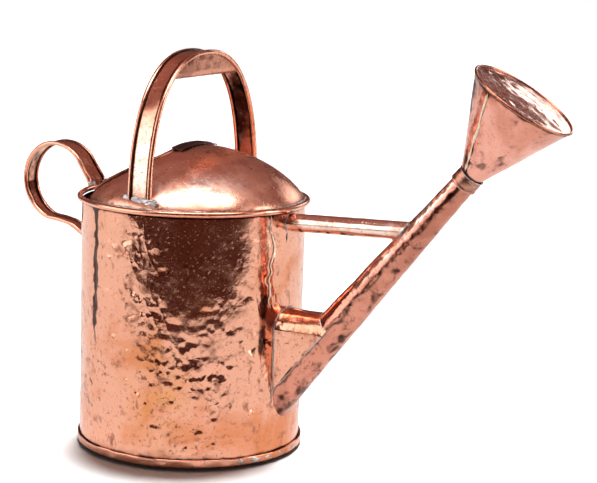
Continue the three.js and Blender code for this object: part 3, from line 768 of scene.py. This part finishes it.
def arch_line(depth, steps):
    angle = np.linspace(-0.5, 0.5, steps) * math.pi
    power = 2 / CARRY_SQUARENESS
    y = np.sign(np.sin(angle)) * np.abs(np.sin(angle)) ** power
    z = np.maximum(np.cos(angle), 0) ** power
    return np.stack([0 * y, (CARRY_HALF_SPAN - depth) * y, CARRY_FOOT_Z + (CARRY_RISE - depth) * z], -1)


def standing(line, sink):
    """The part of an arch line that stands above the hood."""
    placed = place_carry(line)
    above = line[:, 2] > dome_height(np.hypot(placed[:, 0], placed[:, 1])) - sink
    return line[above]


def edge_bead(name, node_name, line, side, size, seed, out, place=np.asarray):
    """Rolled edge on one side of a strap, with painted shade on its side towards the strap."""
    rings = round_rings(line, BEAD_RADIUS, 14, 0.06, size, seed + side)
    points, faces, caps = swept(line, rings, out)
    # painted shade: darker on the half of the bead that faces the strap, in the crevice between them
    dirt = np.clip(1.6 * (-side * rings[..., 0] / BEAD_RADIUS - 0.25), 0, 1)
    piece(name, place(points), faces, rolled, "can", "polished_copper", [node_name], caps, dirt=dirt)


def make_carry():
    half = CARRY_HALF_WIDTH - 2 * BEAD_RADIUS - 0.1
    across = np.linspace(-half, half, 15)
    thick = STRAP_THICKNESS / 2
    line = even(standing(arch_line(BEAD_RADIUS, 2400), 0.6), 240)
    hollow = 0.35 * (1 - (across / half) ** 2)
    inner, outer = (np.stack([across, hollow + side * thick], -1) for side in (-1, 1))
    ring = np.concatenate([inner, outer[::-1]])
    rings = np.broadcast_to(ring, (len(line), *ring.shape)).copy()
    y, z = (np.broadcast_to(line[:, None, k], rings.shape[:2]) for k in (1, 2))
    spread = np.stack([rings[..., 0], y, z], -1)
    rings[..., 1] += 0.16 * ripple(spread, 22, 17)
    points, faces, caps = swept(line, rings, (1.0, 0, 0))
    # painted shade: darker along both edges where the strap meets its beads
    dirt = 1.1 * np.exp(-(half - np.abs(spread[..., 0])) / 1.1)
    far = rise(y, 0, 30)
    dirt += far * (0.2 + 0.3 * ripple(spread, 14, 61)) + 0.16 * rise(z, 330, 30)
    # painted highlight: a pale patch across the middle of the near leg
    pale = 0.9 * (1 - far) * hump(z, 292, 34, 4) * hump(spread[..., 0], 0, 9, 4)
    piece("arch_strap", place_carry(points), faces, polished, "can", "polished_copper", ["carry_strap"], caps,
          dirt=np.clip(dirt, 0, 1), pale=pale)
    for side, name in ((1, "front"), (-1, "rear")):
        line = arch_line(BEAD_RADIUS, 2400)
        line[:, 0] = side * (CARRY_HALF_WIDTH - BEAD_RADIUS)
        line = even(standing(line, 0.8), 260)
        edge_bead(f"arch_edge_{name}", f"carry_bead_{name}", line, side, 17, 40, (1, 0, 0), place_carry)


def make_grip():
    steps = 120
    under = arch_line(2 * BEAD_RADIUS + 0.2, 4000)
    inside = under[under[:, 2] > GRIP_BOTTOM_Z]
    reach = inside[:, 1].max() - 0.3
    y = reach * np.sin(np.linspace(-0.5, 0.5, steps) * math.pi)
    top = np.interp(y, under[:, 1], under[:, 2])
    arc = np.linspace(0, math.pi / 2, 7)

    def half_section(inset):
        flat, low, corner = GRIP_HALF_WIDTH - inset, GRIP_BOTTOM_Z + inset, GRIP_CORNER - inset
        side = [(-flat, h) for h in np.linspace(400, low + corner, 12)]
        bend = [(corner - flat - corner * math.cos(t), low + corner - corner * math.sin(t)) for t in arc]
        left = side + bend[1:]
        return left + [(-x, h) for x, h in left[::-1]]

    section = np.array(half_section(0) + half_section(SHEET)[::-1])
    x = np.broadcast_to(section[None, :, 0], (steps, len(section)))
    z = np.minimum(section[None, :, 1], top[:, None])
    falling = np.linspace(1, 0, 12)
    mid, last = len(section) // 2, len(section)
    low = np.minimum(GRIP_BOTTOM_Z + GRIP_CORNER, top)[:, None]
    for first, share in ((0, falling), (last - 12, falling[::-1]), (mid - 12, falling[::-1]), (mid, falling)):
        z[:, first : first + 12] = low + (top[:, None] - low) * share[None]
    yy = np.broadcast_to(y[:, None], x.shape)
    points = np.stack([x, yy, z], -1)
    bulge = 0.35 * ripple(points, 20, 9) * rise(top[:, None] - z, 0, 4)
    points[..., 0] += np.sign(points[..., 0]) * bulge
    faces = grid_faces(steps, len(section), wrap_cols=True)
    caps = end_caps(steps, len(section))
    points = place_carry(points.reshape(-1, 3))
    piece("hand_grip", points, faces, shaded, "can", "shaded_copper", ["grip_trough"], caps)


# ---- pouring loop ----


def loop_line(steps):
    radius = LOOP_RADIUS - BEAD_RADIUS
    hug = RIM_BEAD_CENTRE + RIM_BEAD_RADIUS + 0.6 + BEAD_RADIUS
    line = [(-hug, 0, RIM_Z - 3), (-hug - 1, 0, RIM_Z + 4)]
    for degrees in range(25, 251, 25):
        t = math.radians(degrees)
        line.append((LOOP_CENTRE[0] + radius * math.cos(t), 0, LOOP_CENTRE[1] + radius * math.sin(t)))
    line += [(x, 0, z) for x, z in LOOP_TAIL]
    return spline(line, steps)


def make_loop():
    fine = loop_line(1200)
    share = np.linspace(0, 1, 1200)
    outside = np.hypot(fine[:, 0], 0) > BODY_RADIUS - 0.3
    last = int(np.argmax(~outside)) or len(fine)
    pick = np.linspace(0, last - 1, 230).round().astype(int)
    line, share = fine[pick], share[pick]
    width = LOOP_WIDE + (LOOP_NARROW - LOOP_WIDE) * share
    across = np.linspace(-1, 1, 15)
    half = width - 2 * BEAD_RADIUS - 0.1
    thick = STRAP_THICKNESS / 2
    lower = np.stack([half[:, None] * across, np.full((230, 15), -thick)], -1)
    upper = np.stack([half[:, None] * across, np.full((230, 15), thick)], -1)[:, ::-1]
    rings = np.concatenate([lower, upper], 1)
    where = np.stack([np.broadcast_to(line[:, None, 0], rings.shape[:2]), rings[..., 0],
                      np.broadcast_to(line[:, None, 2], rings.shape[:2])], -1)
    rings[..., 1] += 0.14 * ripple(where, 16, 27)
    points, faces, caps = swept(line, rings, (0, 1.0, 0))
    # painted shade: darker along both edges where the strap meets its beads, plus random blotches
    dirt = 1.1 * np.exp(-(half[:, None] - np.abs(rings[..., 0])) / 1.1) + 0.3 * ripple(where, 15, 33)
    dirt += 0.35 * (rings[..., 1] > 0) * rise(line[:, None, 0], -150, -30)
    piece("loop_sheet", points, faces, polished, "can", "polished_copper", ["loop_strap"], caps, dirt=dirt)
    for side, name in ((1, "left"), (-1, "right")):
        path = line.copy()
        path[:, 1] = side * (width - BEAD_RADIUS)
        edge_bead(f"loop_edge_{name}", f"loop_bead_{name}", path, side, 15, 60, (0, 1, 0))


# ---- spout, breast and brace ----


def tube(place, start, end, radius_at, sides, levels, dent, seed):
    """Thick tube from start(angle) to end(angle) along its own Z."""
    angle = angles(sides)
    share = np.linspace(0, 1, levels)[:, None]
    z = start(angle)[None] + (end(angle) - start(angle))[None] * share
    a = np.broadcast_to(angle[None], z.shape)
    ring = np.stack([np.cos(a), np.sin(a)], -1)
    base = np.concatenate([ring * radius_at(z)[..., None], z[..., None]], -1)
    depth = dent * (0.5 + 0.5 * ripple(base, 26, seed)) + 0.35 * dent * ripple(base, 9, seed + 7, 2)
    depth = np.clip(depth, 0, 2) * np.clip(np.minimum(share, 1 - share) * 25, 0, 1)
    outer = np.concatenate([ring * (radius_at(z) - depth)[..., None], z[..., None]], -1)
    inner = np.concatenate([ring * (radius_at(z) - depth - SHEET)[..., None], z[..., None]], -1)
    points = place(np.concatenate([outer, inner[::-1]]))
    return points.reshape(-1, 3), grid_faces(2 * levels, sides, wrap_rows=True, wrap_cols=True)


def leaves_body(ring, angle, low, high):
    """How far along a tube each angle of it comes out of the body's wall."""

    def inside(s):
        p = ring(angle, s)
        return np.hypot(p[:, 0], p[:, 1]) < BODY_RADIUS - 0.4

    return solve(np.full(angle.shape, low), np.full(angle.shape, high), inside)


def make_spout():
    def ring(angle, s):
        return along_spout(wrapped(spout_radius(s), angle, s))

    def start(angle):
        return leaves_body(ring, angle, -40.0, 60.0)

    def end(angle):
        return np.full(angle.shape, float(SPOUT_LENGTH))

    points, faces = tube(along_spout, start, end, spout_radius, 112, 260, 0.55, 33)
    worn = np.clip(0.35 + 0.6 * ripple(points, 22, 14), 0, 1)
    under = (points[:, 0] - SPOUT_FOOT[0]) * math.sin(math.radians(SPOUT_ANGLE))
    under -= (points[:, 2] - SPOUT_FOOT[2]) * math.cos(math.radians(SPOUT_ANGLE))
    along = spout_frame(points)[0]
    # painted reflection: a wavy dark band along the middle of the spout's side stands for the dark room
    # mirrored in the tube
    band = under - 1.5 - 2.6 * ripple(points * [1, 0, 1], 17, 18)
    dirt = 0.5 * hump(band, 0, 2.2) + 0.3 * np.clip(under / 12, 0, 1) * (1 - along / 420)
    spots = np.clip(ripple(points, 11, 52) - 0.15, 0, 1) * np.clip(under / 8 + 0.7, 0.2, 1)
    dirt = np.clip(dirt + 0.5 * spots + 0.08, 0, 0.6)
    # painted highlight: a broken pale streak along the upper side of the spout
    painted_highlight_streak = hump(under, -7.5, 3.4) * rise(along, 120, 60)
    pale = np.clip(painted_highlight_streak * (0.75 + 0.9 * ripple(points, 11, 23)), 0, 1)
    piece("spout", points, faces, spout_copper, "can", "hammered_copper", ["spout_tube"],
          worn=worn, dirt=dirt, pale=pale)

    inner = spout_radius(STOP[0]) + 0.1
    profile = rounded([(inner, STOP[0]), (STOP[2], STOP[0]), (STOP[2], STOP[1]), (inner, STOP[1])], 0.6)
    points, faces = revolved(profile, 96)
    points = along_spout(points).reshape(-1, 3)
    piece("stop_ring", points, faces, shaded, "can", "shaded_copper", ["spout_stop_ring"])


def make_brace():
    tilt = 90 - math.degrees(BRACE_CLIMB)

    def place(points):
        return turn_y(points, tilt) + np.array(BRACE_START)

    def ring(angle, s):
        return place(wrapped(BRACE_RADIUS, angle, s))

    def start(angle):
        return leaves_body(ring, angle, -30.0, 30.0)

    def end(angle):
        def outside(s):
            along, away = spout_frame(ring(angle, s))
            return away > spout_radius(along) - 0.4

        return np.minimum(solve(np.full(angle.shape, 60.0), np.full(angle.shape, 132.0), outside), 128)

    points, faces = tube(place, start, end, lambda s: np.full(s.shape, float(BRACE_RADIUS)), 72, 110, 0.25, 71)
    level = place(np.array([[0, 0, 60.0]]))[0, 2] + (points[:, 0] - BRACE_START[0] - 60) * math.tan(BRACE_CLIMB)
    low = np.clip((level - points[:, 2]) / BRACE_RADIUS, -1, 1)
    # painted highlight along the upper middle of the brace and painted shade along its underside, broken up by
    # noise
    pale = 1.1 * hump(low, -0.15, 0.75)
    dirt = 0.7 * np.clip(low * 1.4 - 0.15, 0, 1) * (0.5 + 0.8 * noise(points, 5, 8))
    piece("brace", points, faces, polished, "can", "polished_copper", ["spout_brace"], dirt=dirt, pale=pale)


def breast_half_width(x):
    return spout_radius((x - SPOUT_FOOT[0]) / math.cos(math.radians(SPOUT_ANGLE))) + 0.3 + SHEET


def breast_rows():
    """Height and share of half width down one side of the breast, over its arch and down the other."""
    straight = np.linspace(BREAST_HEEL_Z, BREAST_SPRINGING, 46)[:-1]
    arc = np.linspace(0, math.pi, 61)
    z = np.concatenate([straight, BREAST_SPRINGING + BREAST_ARCH * np.sin(arc), straight[::-1]])
    y = np.concatenate([np.full(45, 1.0), np.cos(arc), np.full(45, -1.0)])
    return z, y


def breast_ends(sink=0.4):
    """X where each row of the breast starts on the body and ends on the spout."""
    z, y = breast_rows()
    start = np.sqrt((BODY_RADIUS - sink) ** 2 - (y * breast_half_width(BODY_RADIUS)) ** 2)
    slope = math.tan(math.radians(SPOUT_ANGLE))
    axis = SPOUT_FOOT[0] + (z - SPOUT_FOOT[2]) / slope
    lap = 1.5

    def outside(x):
        p = np.stack([x, y * breast_half_width(x), z], -1)
        along, away = spout_frame(p)
        return (away > spout_radius(along) + 0.05) & (x < axis + lap)

    end = solve(start, np.full(z.shape, 175.0), outside)
    return start, np.maximum(end, start + 0.5)


def make_breast():
    z, y = breast_rows()
    start, end = breast_ends()
    share = np.linspace(0, 1, 70)[None]
    x = start[:, None] + (end - start)[:, None] * share
    zz = np.broadcast_to(z[:, None], x.shape).copy()
    yy = y[:, None] * breast_half_width(x)
    flat = np.stack([x, yy, zz], -1)
    quiet = np.clip(np.minimum(share, 1 - share) * 8, 0, 1)
    lump = quiet * (0.35 * ripple(flat, 19, 51) - 0.35)
    yy = yy * (1 + lump / 24)
    zz = zz + rise(zz, BREAST_SPRINGING, 12) * lump
    sheet, quads = np.stack([x, yy, zz], -1).reshape(-1, 3), grid_faces(len(z), 70)
    points, faces = thicken(sheet, quads, SHEET)
    inside = np.array([130, 0, 110.0])
    outer, inner = (np.linalg.norm(half - inside, axis=1).mean() for half in np.split(points, 2))
    if inner > outer:
        points, faces = thicken(sheet, quads[:, ::-1], SHEET)
    piece("breast", points, faces, hammered, "can", "hammered_copper", ["spout_breast"])


# ---- rose ----

SEAM_ANGLE = math.radians(-88)
# side of the rose face that gets the painted highlight; the opposite side gets painted shade
FACE_PAINTED_LIGHT_SIDE = (0.55, -0.83)
HOLE_RINGS = 3
HOLE_PITCH = 13.6
HOLE_CORNERS = 12
HOLE_SCATTER = 0.35


def make_rose():
    inner = spout_radius(SOCKET_START) + 0.3
    profile = rounded(
        [(inner, SOCKET_START), (SOCKET_LOWER_RADIUS, SOCKET_START), (SOCKET_LOWER_RADIUS, SOCKET_STEP),
         (SOCKET_UPPER_RADIUS, SOCKET_STEP + 0.3), (SOCKET_UPPER_RADIUS, SOCKET_END), (inner, SOCKET_END)], 0.4)
    points, faces = revolved(profile, 120)
    points[..., :2] *= 1 - 0.004 * (1 + noise(points, 7, 3))[..., None]
    points = along_spout(points).reshape(-1, 3)
    piece("socket", points, faces, socket_copper, "rose_collar", "shaded_copper", ["rose_socket"])

    bead_centre = ROSE_RADIUS - ROSE_BEAD_RADIUS
    end = ROSE_LENGTH - ROSE_BEAD_RADIUS + 0.4
    flare = (bead_centre - ROSE_NECK_RADIUS) / (ROSE_LENGTH - ROSE_BEAD_RADIUS)
    sides, levels = 220, 130
    angle = angles(sides)

    def start(a):
        def below(s):
            r = ROSE_NECK_RADIUS + flare * s
            p = along_rose(wrapped(r, a, s))
            return spout_frame(p)[0] < ROSE_START

        return solve(np.full(a.shape, -9.0), np.full(a.shape, 9.0), below)

    share = np.linspace(0, 1, levels)[:, None]
    s = start(angle)[None] + (end - start(angle))[None] * share
    a = np.broadcast_to(angle[None], s.shape)
    radius = ROSE_NECK_RADIUS + flare * s
    base = wrapped(radius, a, s)
    quiet = np.clip(np.minimum(share * 12, (1 - share) * 14), 0, 1)
    depth = quiet * np.clip(0.4 + 0.42 * ripple(base, 24, 81) + 0.12 * ripple(base, 9, 3, 2), 0, 1.6)
    off = (a - SEAM_ANGLE + math.pi) % (2 * math.pi) - math.pi
    lap = np.where(off > 0, np.exp(-off / 0.16), 0) * 0.55
    radius = radius - depth + quiet * lap - 0.55 * quiet * (np.abs(off) < 0.02)
    outer = wrapped(radius, a, s)
    inner = wrapped(radius - SHEET, a, s)
    points = along_rose(np.concatenate([outer, inner[::-1]])).reshape(-1, 3)
    faces = grid_faces(2 * levels, sides, wrap_rows=True, wrap_cols=True)
    left = np.clip(-off / 0.25, 0, 1) * np.clip((2.0 + off) / 0.5, 0, 1)
    spots = np.clip(ripple(base * [1, 1, 0.7], 13, 8), 0, 1)
    dirt = left * (0.34 + 0.3 * ripple(base, 12, 19)) + 0.6 * spots + 0.55 * hump(off * radius, 0, 2)
    dirt += 0.7 * np.exp(-share * 22) + 0.6 * np.exp(-(1 - share) * 40)
    worn = np.clip(0.2 + 0.5 * ripple(base, 25, 44), 0, 1)
    piece("cone", points, faces, cone_copper, "rose_head", "hammered_copper", ["rose_cone"],
          dirt=np.concatenate([dirt, dirt[::-1]]), worn=np.concatenate([worn, worn[::-1]]))

    path = ring_path(bead_centre, ROSE_LENGTH, 240)
    rings = round_rings(path, 1.45, 14, 0.08, 12, 7)
    points, faces, _ = swept(path, rings, (0, 0, 1.0), True)
    piece("rose_edge", along_rose(points), faces, shaded, "rose_head", "polished_copper", ["rose_rim_bead"])

    run = np.linspace(1.5, end - 1.5, 120)
    wander = SEAM_ANGLE + 0.05 * noise(np.stack([run, 0 * run, 0 * run], -1), 15, 2)
    radius = ROSE_NECK_RADIUS + flare * run + 0.1
    path = wrapped(radius, wander, run)
    rings = round_rings(path, 1.9, 10, 0.35, 6, 15)
    rings[..., 1] *= 0.7
    taper = np.clip(np.minimum(run - 1.5, end - 1.5 - run) / 5, 0.08, 1)
    points, faces, caps = swept(path, rings * taper[:, None, None], (0.2, 0.1, 0))
    piece("rose_seam", along_rose(points), faces, brazed, "rose_head", "solder", (), caps)
    make_rose_face()


def make_rose_face():
    edge = ROSE_RADIUS - 2 * ROSE_BEAD_RADIUS + 0.5
    levels, sides = 44, 180
    share = np.sqrt(np.linspace(0.0001, 1, levels))
    angle = angles(sides)
    r, a = np.meshgrid(edge * share, angle, indexing="ij")
    flat = wrapped(r, a, 0 * r)
    quiet = rise(r, edge, -8)
    sag = quiet * np.clip(0.5 + 0.5 * ripple(flat, 22, 91) + 0.25 * ripple(flat, 8, 5, 2), 0, 2)
    z = ROSE_LENGTH + ROSE_BULGE * (1 - (r / edge) ** 2) - sag
    points = np.stack([flat[..., 0], flat[..., 1], z], -1).reshape(-1, 3)
    faces = grid_faces(levels, sides, wrap_cols=True)
    points, faces = thicken(points, faces, SHEET, np.array([[0, 0, -1.0]]))
    toward = (points[:, 0] * FACE_PAINTED_LIGHT_SIDE[0] + points[:, 1] * FACE_PAINTED_LIGHT_SIDE[1]) / edge
    toward += 0.25 * ripple(points, 25, 36)
    # painted light: the face is paled as a painted highlight on one side and darkened as painted shade on the
    # other
    pale = 0.8 * np.clip(toward * 1.8 + 0.5, 0, 1)
    dirt = 0.5 * np.clip(-toward * 2.2 - 0.25, 0, 1)
    plate = piece("face_plate", points, faces, face_copper, "rose_head", "shaded_copper", ["rose_face"],
                  pale=pale, dirt=dirt)
    drills, drill_faces = [], []
    turn = angles(HOLE_CORNERS)
    rng = np.random.default_rng(4)
    for ring in range(HOLE_RINGS + 1):
        count = max(1, 6 * ring)
        for i in range(count):
            t = 2 * math.pi * (i + 0.5 * (ring % 2)) / count
            x = HOLE_PITCH * ring * math.cos(t) + rng.normal(0, HOLE_SCATTER)
            y = HOLE_PITCH * ring * math.sin(t) + rng.normal(0, HOLE_SCATTER)
            low = np.arange(HOLE_CORNERS) + len(drills)
            high = low + HOLE_CORNERS
            for h in (ROSE_LENGTH - 6, ROSE_LENGTH + 12):
                drills += [(x + math.cos(q), y + math.sin(q), h) for q in turn]
            drill_faces += np.stack([low, np.roll(low, -1), np.roll(high, -1), high], -1).tolist()
            drill_faces += [low[::-1].tolist(), high.tolist()]
    mesh = bpy.data.meshes.new("drills")
    mesh.from_pydata((np.array(drills) * MM).tolist(), [], drill_faces)
    cutter = linked("drills", mesh)
    cut = plate.modifiers.new("holes", "BOOLEAN")
    cut.operation = "DIFFERENCE"
    cut.solver = "EXACT"
    cut.object = cutter
    bpy.context.view_layer.update()
    drilled = bpy.data.meshes.new_from_object(plate.evaluated_get(bpy.context.evaluated_depsgraph_get()))
    plate.modifiers.clear()
    bpy.data.objects.remove(cutter)
    places = np.empty(len(drilled.vertices) * 3)
    drilled.vertices.foreach_get("co", places)
    placed = along_rose(places.reshape(-1, 3) / MM) * MM
    drilled.vertices.foreach_set("co", placed.ravel())
    drilled.update()
    plate.data = drilled
    drilled.shade_smooth()
    drilled.set_sharp_from_angle(angle=math.radians(38))


# ---- solder ----


def solder_run(name, path, radius, seed, body="can", closed=False, flat=1.0, reference=(0, 0, 1.0)):
    """Uneven run of solder along a seam."""
    uneven = np.clip(0.75 + 0.5 * ripple(path, 9, seed) + 0.35 * noise(path, 31, seed + 5), 0.3, 1.9)
    rings = round_rings(path, 1.0, 10, 0.12, 3, seed) * (np.asarray(radius) * uneven)[:, None, None]
    rings[..., 1] *= flat
    if not closed:
        rings = tapered(rings, 6)
    points, faces, caps = swept(path, rings, reference, closed)
    points = points + 0.12 * np.stack([noise(points, 2.5, seed + k) for k in range(3)], -1)
    return piece(name, points, faces, solder, body, "solder", (), caps, 60)


def solder_blob(name, centre, across, up, sizes, seed, body="can"):
    """Flat lump of solder: half sizes along across, along up and out of the surface."""
    across, up = np.array(across, float), np.array(up, float)
    across /= np.linalg.norm(across)
    up = up - (up @ across) * across
    up /= np.linalg.norm(up)
    out = np.cross(across, up)
    rows, cols = 18, 32
    polar = np.linspace(0.06, math.pi - 0.06, rows)
    turn = angles(cols)
    polar, turn = np.meshgrid(polar, turn, indexing="ij")
    unit = np.stack([np.sin(polar) * np.cos(turn), np.sin(polar) * np.sin(turn), np.cos(polar)], -1)
    grow = 1 + 0.32 * ripple(unit * [1, 1, 0.2], 0.6, seed)
    local = unit * grow[..., None] * np.array(sizes)
    points = np.array(centre) + local[..., :1] * across + local[..., 1:2] * up + local[..., 2:] * out
    faces = grid_faces(rows, cols, wrap_cols=True)
    return piece(name, points, faces, solder, body, "solder", (), end_caps(rows, cols), 60)


def make_solder():
    path = ring_path(HOOD_RADIUS + 0.7, 249.2, 420)
    angle = np.arctan2(path[:, 1], path[:, 0])
    path = path[np.abs(angle) < 2.15]
    angle = np.arctan2(path[:, 1], path[:, 0])
    order = np.argsort(angle)
    path, angle = path[order], angle[order]
    thick = 1.25 + 1.1 * hump(angle, 0.15, 0.3) + 0.9 * hump(np.abs(angle), 1.55, 0.16)
    solder_run("solder_rim", path, thick, 3, flat=0.8)

    for side, name in ((1, "far"), (-1, "near")):
        for k, (dx, dy, wide) in enumerate(((0, 1.5, 15), (-13, -2.5, 7), (14, -1.5, 8.5))):
            x, y = CARRY_SHIFT_X + dx - side * 4.6, side * (104.2 - abs(dy))
            z = float(dome_height(math.hypot(x, y)))
            solder_blob(f"solder_foot_{name}_{k}", (x, y, z - 0.2), (1, 0, 0), (0, -side * 0.5, 0.86),
                        (wide, 3.4, 1.5), 20 + 3 * k + side)

    around = angles(90)
    tilt = 90 - math.degrees(BRACE_CLIMB)
    for name, seed, low, high, test in (
        ("solder_brace_foot", 5, -30.0, 30.0, lambda p: np.hypot(p[:, 0], p[:, 1]) < BODY_RADIUS + 0.3),
        ("solder_brace_tip", 6, 60.0, 128.0,
         lambda p: spout_frame(p)[1] > spout_radius(spout_frame(p)[0]) + 0.3),
    ):
        def ring(s):
            out = BRACE_RADIUS + 0.2
            local = wrapped(out, around, s)
            return turn_y(local, tilt) + np.array(BRACE_START)

        reach = solve(np.full(90, low), np.full(90, high), lambda s: test(ring(s)))
        solder_run(name, ring(reach), 1.15, seed, closed=True, reference=(1.0, 0, 0))
    drip = np.stack([np.full(14, 109.9), np.linspace(-4, -5, 14), np.linspace(226, 214, 14)], -1)
    solder_run("solder_drip", drip, 1.2, 9, flat=0.7, reference=(0, 1.0, 0))

    z, y = breast_rows()
    start, end = breast_ends()
    path = np.stack([start + 0.7, y * (breast_half_width(start) + 0.2), z + 0.2], -1)
    solder_run("solder_breast_body", even(path, 200), 0.95, 12, reference=(1.0, 0, 0))
    path = np.stack([end + 0.2, y * (breast_half_width(end) + 0.1), z + 0.3], -1)
    solder_run("solder_breast_spout", even(path, 260), 0.7, 15, reference=(0, 1.0, 0.3))

    ring = ring_path(SOCKET_UPPER_RADIUS + 0.1, SOCKET_END - 0.2, 96)
    solder_run("solder_socket", along_spout(ring), 0.85, 18, "rose_head", True, reference=(1.0, 0, 0))
    ring = ring_path(spout_radius(STOP[0]) + 0.4, STOP[0] - 0.2, 96)
    solder_run("solder_stop", along_spout(ring), 0.75, 19, closed=True, reference=(1.0, 0, 0))

    for side in (1, -1):
        centre = (-115.2, side * 12, 249.2)
        solder_blob(f"solder_loop_{side + 1}", centre, (0, 1, 0), (-0.4, 0, 1), (6, 3, 1.6), 50 + side)
    for k, degrees in enumerate((-22, -14, -5, -31, 9, 21, 176, 188)):
        t = math.radians(degrees)
        z = 7.6 + 3.4 * math.sin(3.1 * k)
        out = np.array([math.cos(t), math.sin(t), 0])
        centre = FOOT_BAND_FACE * out + [0, 0, z]
        sizes = (4.2 + 2.2 * math.cos(5.0 * k), 2.4, 0.5)
        solder_blob(f"solder_band_{k}", centre, (-out[1], out[0], 0), (0, 0, 1), sizes, 70 + k)


make_body()
make_rims()
make_hood()
make_hood_edge()
make_carry()
make_grip()
make_loop()
make_spout()
make_brace()
make_breast()
make_rose()
make_solder()

# ---- studio ----

VIEW_AZIMUTH = math.radians(29.8)
VIEW_PITCH = math.radians(10.22)
VIEW_ROLL = math.radians(1.78)
CAMERA_PLACE = (0.9632, -1.4725, 0.5221)
TOWARDS = np.array([math.sin(VIEW_AZIMUTH), -math.cos(VIEW_AZIMUTH), 0])
ACROSS = np.array([math.cos(VIEW_AZIMUTH), math.sin(VIEW_AZIMUTH), 0])


def make_floor():
    """Pale table with its near edge a little in front of the can."""
    front, back, wide = 0.62, 5.0, 5.0
    around = ((front, -wide), (front, wide), (-back, wide), (-back, -wide))
    corners = [TOWARDS * near + ACROSS * side for near, side in around]
    mesh = bpy.data.meshes.new("floor")
    mesh.from_pydata([tuple(c) for c in corners], [], [(0, 1, 2, 3)])
    floor = linked("floor", mesh)
    material, tree, surface = shader("floor")
    where = node(tree, "ShaderNodeTexCoord").outputs["Object"]
    tone = between(tree, noise_node(tree, where, 3, 3), 0.3, 0.7)
    seen = blend(tree, tone, (0.97, 0.97, 0.97), (0.95, 0.95, 0.95))
    mirrored = node(tree, "ShaderNodeLightPath").outputs["Is Glossy Ray"]
    tree.links.new(blend(tree, mirrored, seen, (0.60, 0.60, 0.60)), surface.inputs["Base Color"])
    surface.inputs["Roughness"].default_value = 0.9
    surface.inputs["Specular IOR Level"].default_value = 0
    mesh.materials.append(material)


def placed(right, up, back, place):
    """World matrix of a lamp or camera that looks away from back."""
    rows = np.column_stack([right, up, back, place])
    return Matrix([*rows.tolist(), [0, 0, 0, 1]])


def area_light(name, heading, distance, height, size, power, aim=0.15, colour=(1, 1, 1)):
    """Softbox at a heading in degrees from the camera's, to the right, aimed at the can."""
    t = math.radians(heading)
    way = TOWARDS * math.cos(t) + ACROSS * math.sin(t)
    light = bpy.data.lights.new(name, "AREA")
    light.shape = "RECTANGLE"
    light.size, light.size_y = size
    light.energy = power
    light.color = colour
    obj = linked(name, light)
    place = way * distance + np.array([0, 0, height])
    back = place - np.array([0, 0, aim])
    back /= np.linalg.norm(back)
    right = np.cross((0, 0, 1), back)
    right /= np.linalg.norm(right)
    up = np.cross(back, right)
    obj.matrix_world = placed(right, up, back, place)
    obj.visible_diffuse = False


def make_light():
    area_light("left", -72, 1.7, 0.75, (1.7, 1.5), 15)
    area_light("right", 78, 1.8, 0.7, (0.9, 1.5), 19)
    area_light("back", 143, 2.2, 0.95, (0.8, 0.5), 4)
    area_light("top", 8, 0.45, 1.75, (1.5, 0.75), 20)
    overhead = bpy.data.lights.new("overhead", "SUN")
    overhead.energy = 5.2
    overhead.angle = math.radians(12)
    obj = linked("overhead", overhead)
    obj.visible_glossy = False
    tilt = math.radians(10)
    way = math.sin(tilt) * (0.97 * TOWARDS - 0.24 * ACROSS) + np.array([0, 0, -math.cos(tilt)])
    blockers = bpy.data.collections.new("shadow_casters")
    for name in ("wall", "base_band", "pan"):
        blockers.objects.link(bpy.data.objects[name])
    obj.light_linking.blocker_collection = blockers
    obj.rotation_mode = "QUATERNION"
    obj.rotation_quaternion = Vector(-way).to_track_quat("Z", "Y")
    world = bpy.data.worlds.new("studio")
    bpy.context.scene.world = world
    world.use_nodes = True
    tree = world.node_tree
    tree.nodes.clear()
    where = node(tree, "ShaderNodeTexCoord").outputs["Generated"]
    height = node(tree, "ShaderNodeSeparateXYZ", {0: where}).outputs["Z"]
    level = maths(tree, "ADD", maths(tree, "MULTIPLY", height, 0.5), 0.5)
    ramp = node(tree, "ShaderNodeValToRGB", {0: level})
    stops = ((0.0, 0.07), (0.47, 0.075), (0.53, 0.11), (0.60, 0.13), (0.75, 0.22), (1.0, 0.4))
    for place, value in stops[1:-1]:
        ramp.color_ramp.elements.new(place)
    for element, (place, value) in zip(ramp.color_ramp.elements, stops):
        element.position = place
        element.color = (value, value * 0.48, value * 0.42, 1)
    room = node(tree, "ShaderNodeBackground", {0: ramp.outputs[0], 1: 1.0})
    paper = node(tree, "ShaderNodeBackground", {0: (1, 1, 1, 1), 1: 0.08})
    path = node(tree, "ShaderNodeLightPath").outputs
    mixed = node(
        tree, "ShaderNodeMixShader", {0: path["Is Glossy Ray"], 1: paper.outputs[0], 2: room.outputs[0]}
    )
    white = node(tree, "ShaderNodeBackground", {0: (1, 1, 1, 1), 1: 1.0})
    mixed = node(
        tree, "ShaderNodeMixShader", {0: path["Is Camera Ray"], 1: mixed.outputs[0], 2: white.outputs[0]}
    )
    node(tree, "ShaderNodeOutputWorld", {"Surface": mixed.outputs[0]})
    bpy.context.scene.view_settings.view_transform = "Standard"


def make_camera():
    data = bpy.data.cameras.new("camera")
    data.lens = 108.83
    data.sensor_width = 36
    data.clip_end = 50
    camera = linked("camera", data)
    back = np.array([*(TOWARDS[:2] * math.cos(VIEW_PITCH)), math.sin(VIEW_PITCH)])
    up = np.cross(back, ACROSS)
    right = math.cos(VIEW_ROLL) * ACROSS + math.sin(VIEW_ROLL) * up
    lift = math.cos(VIEW_ROLL) * up - math.sin(VIEW_ROLL) * ACROSS
    camera.matrix_world = placed(right, lift, back, CAMERA_PLACE)
    bpy.context.scene.camera = camera


make_floor()
make_light()
make_camera()
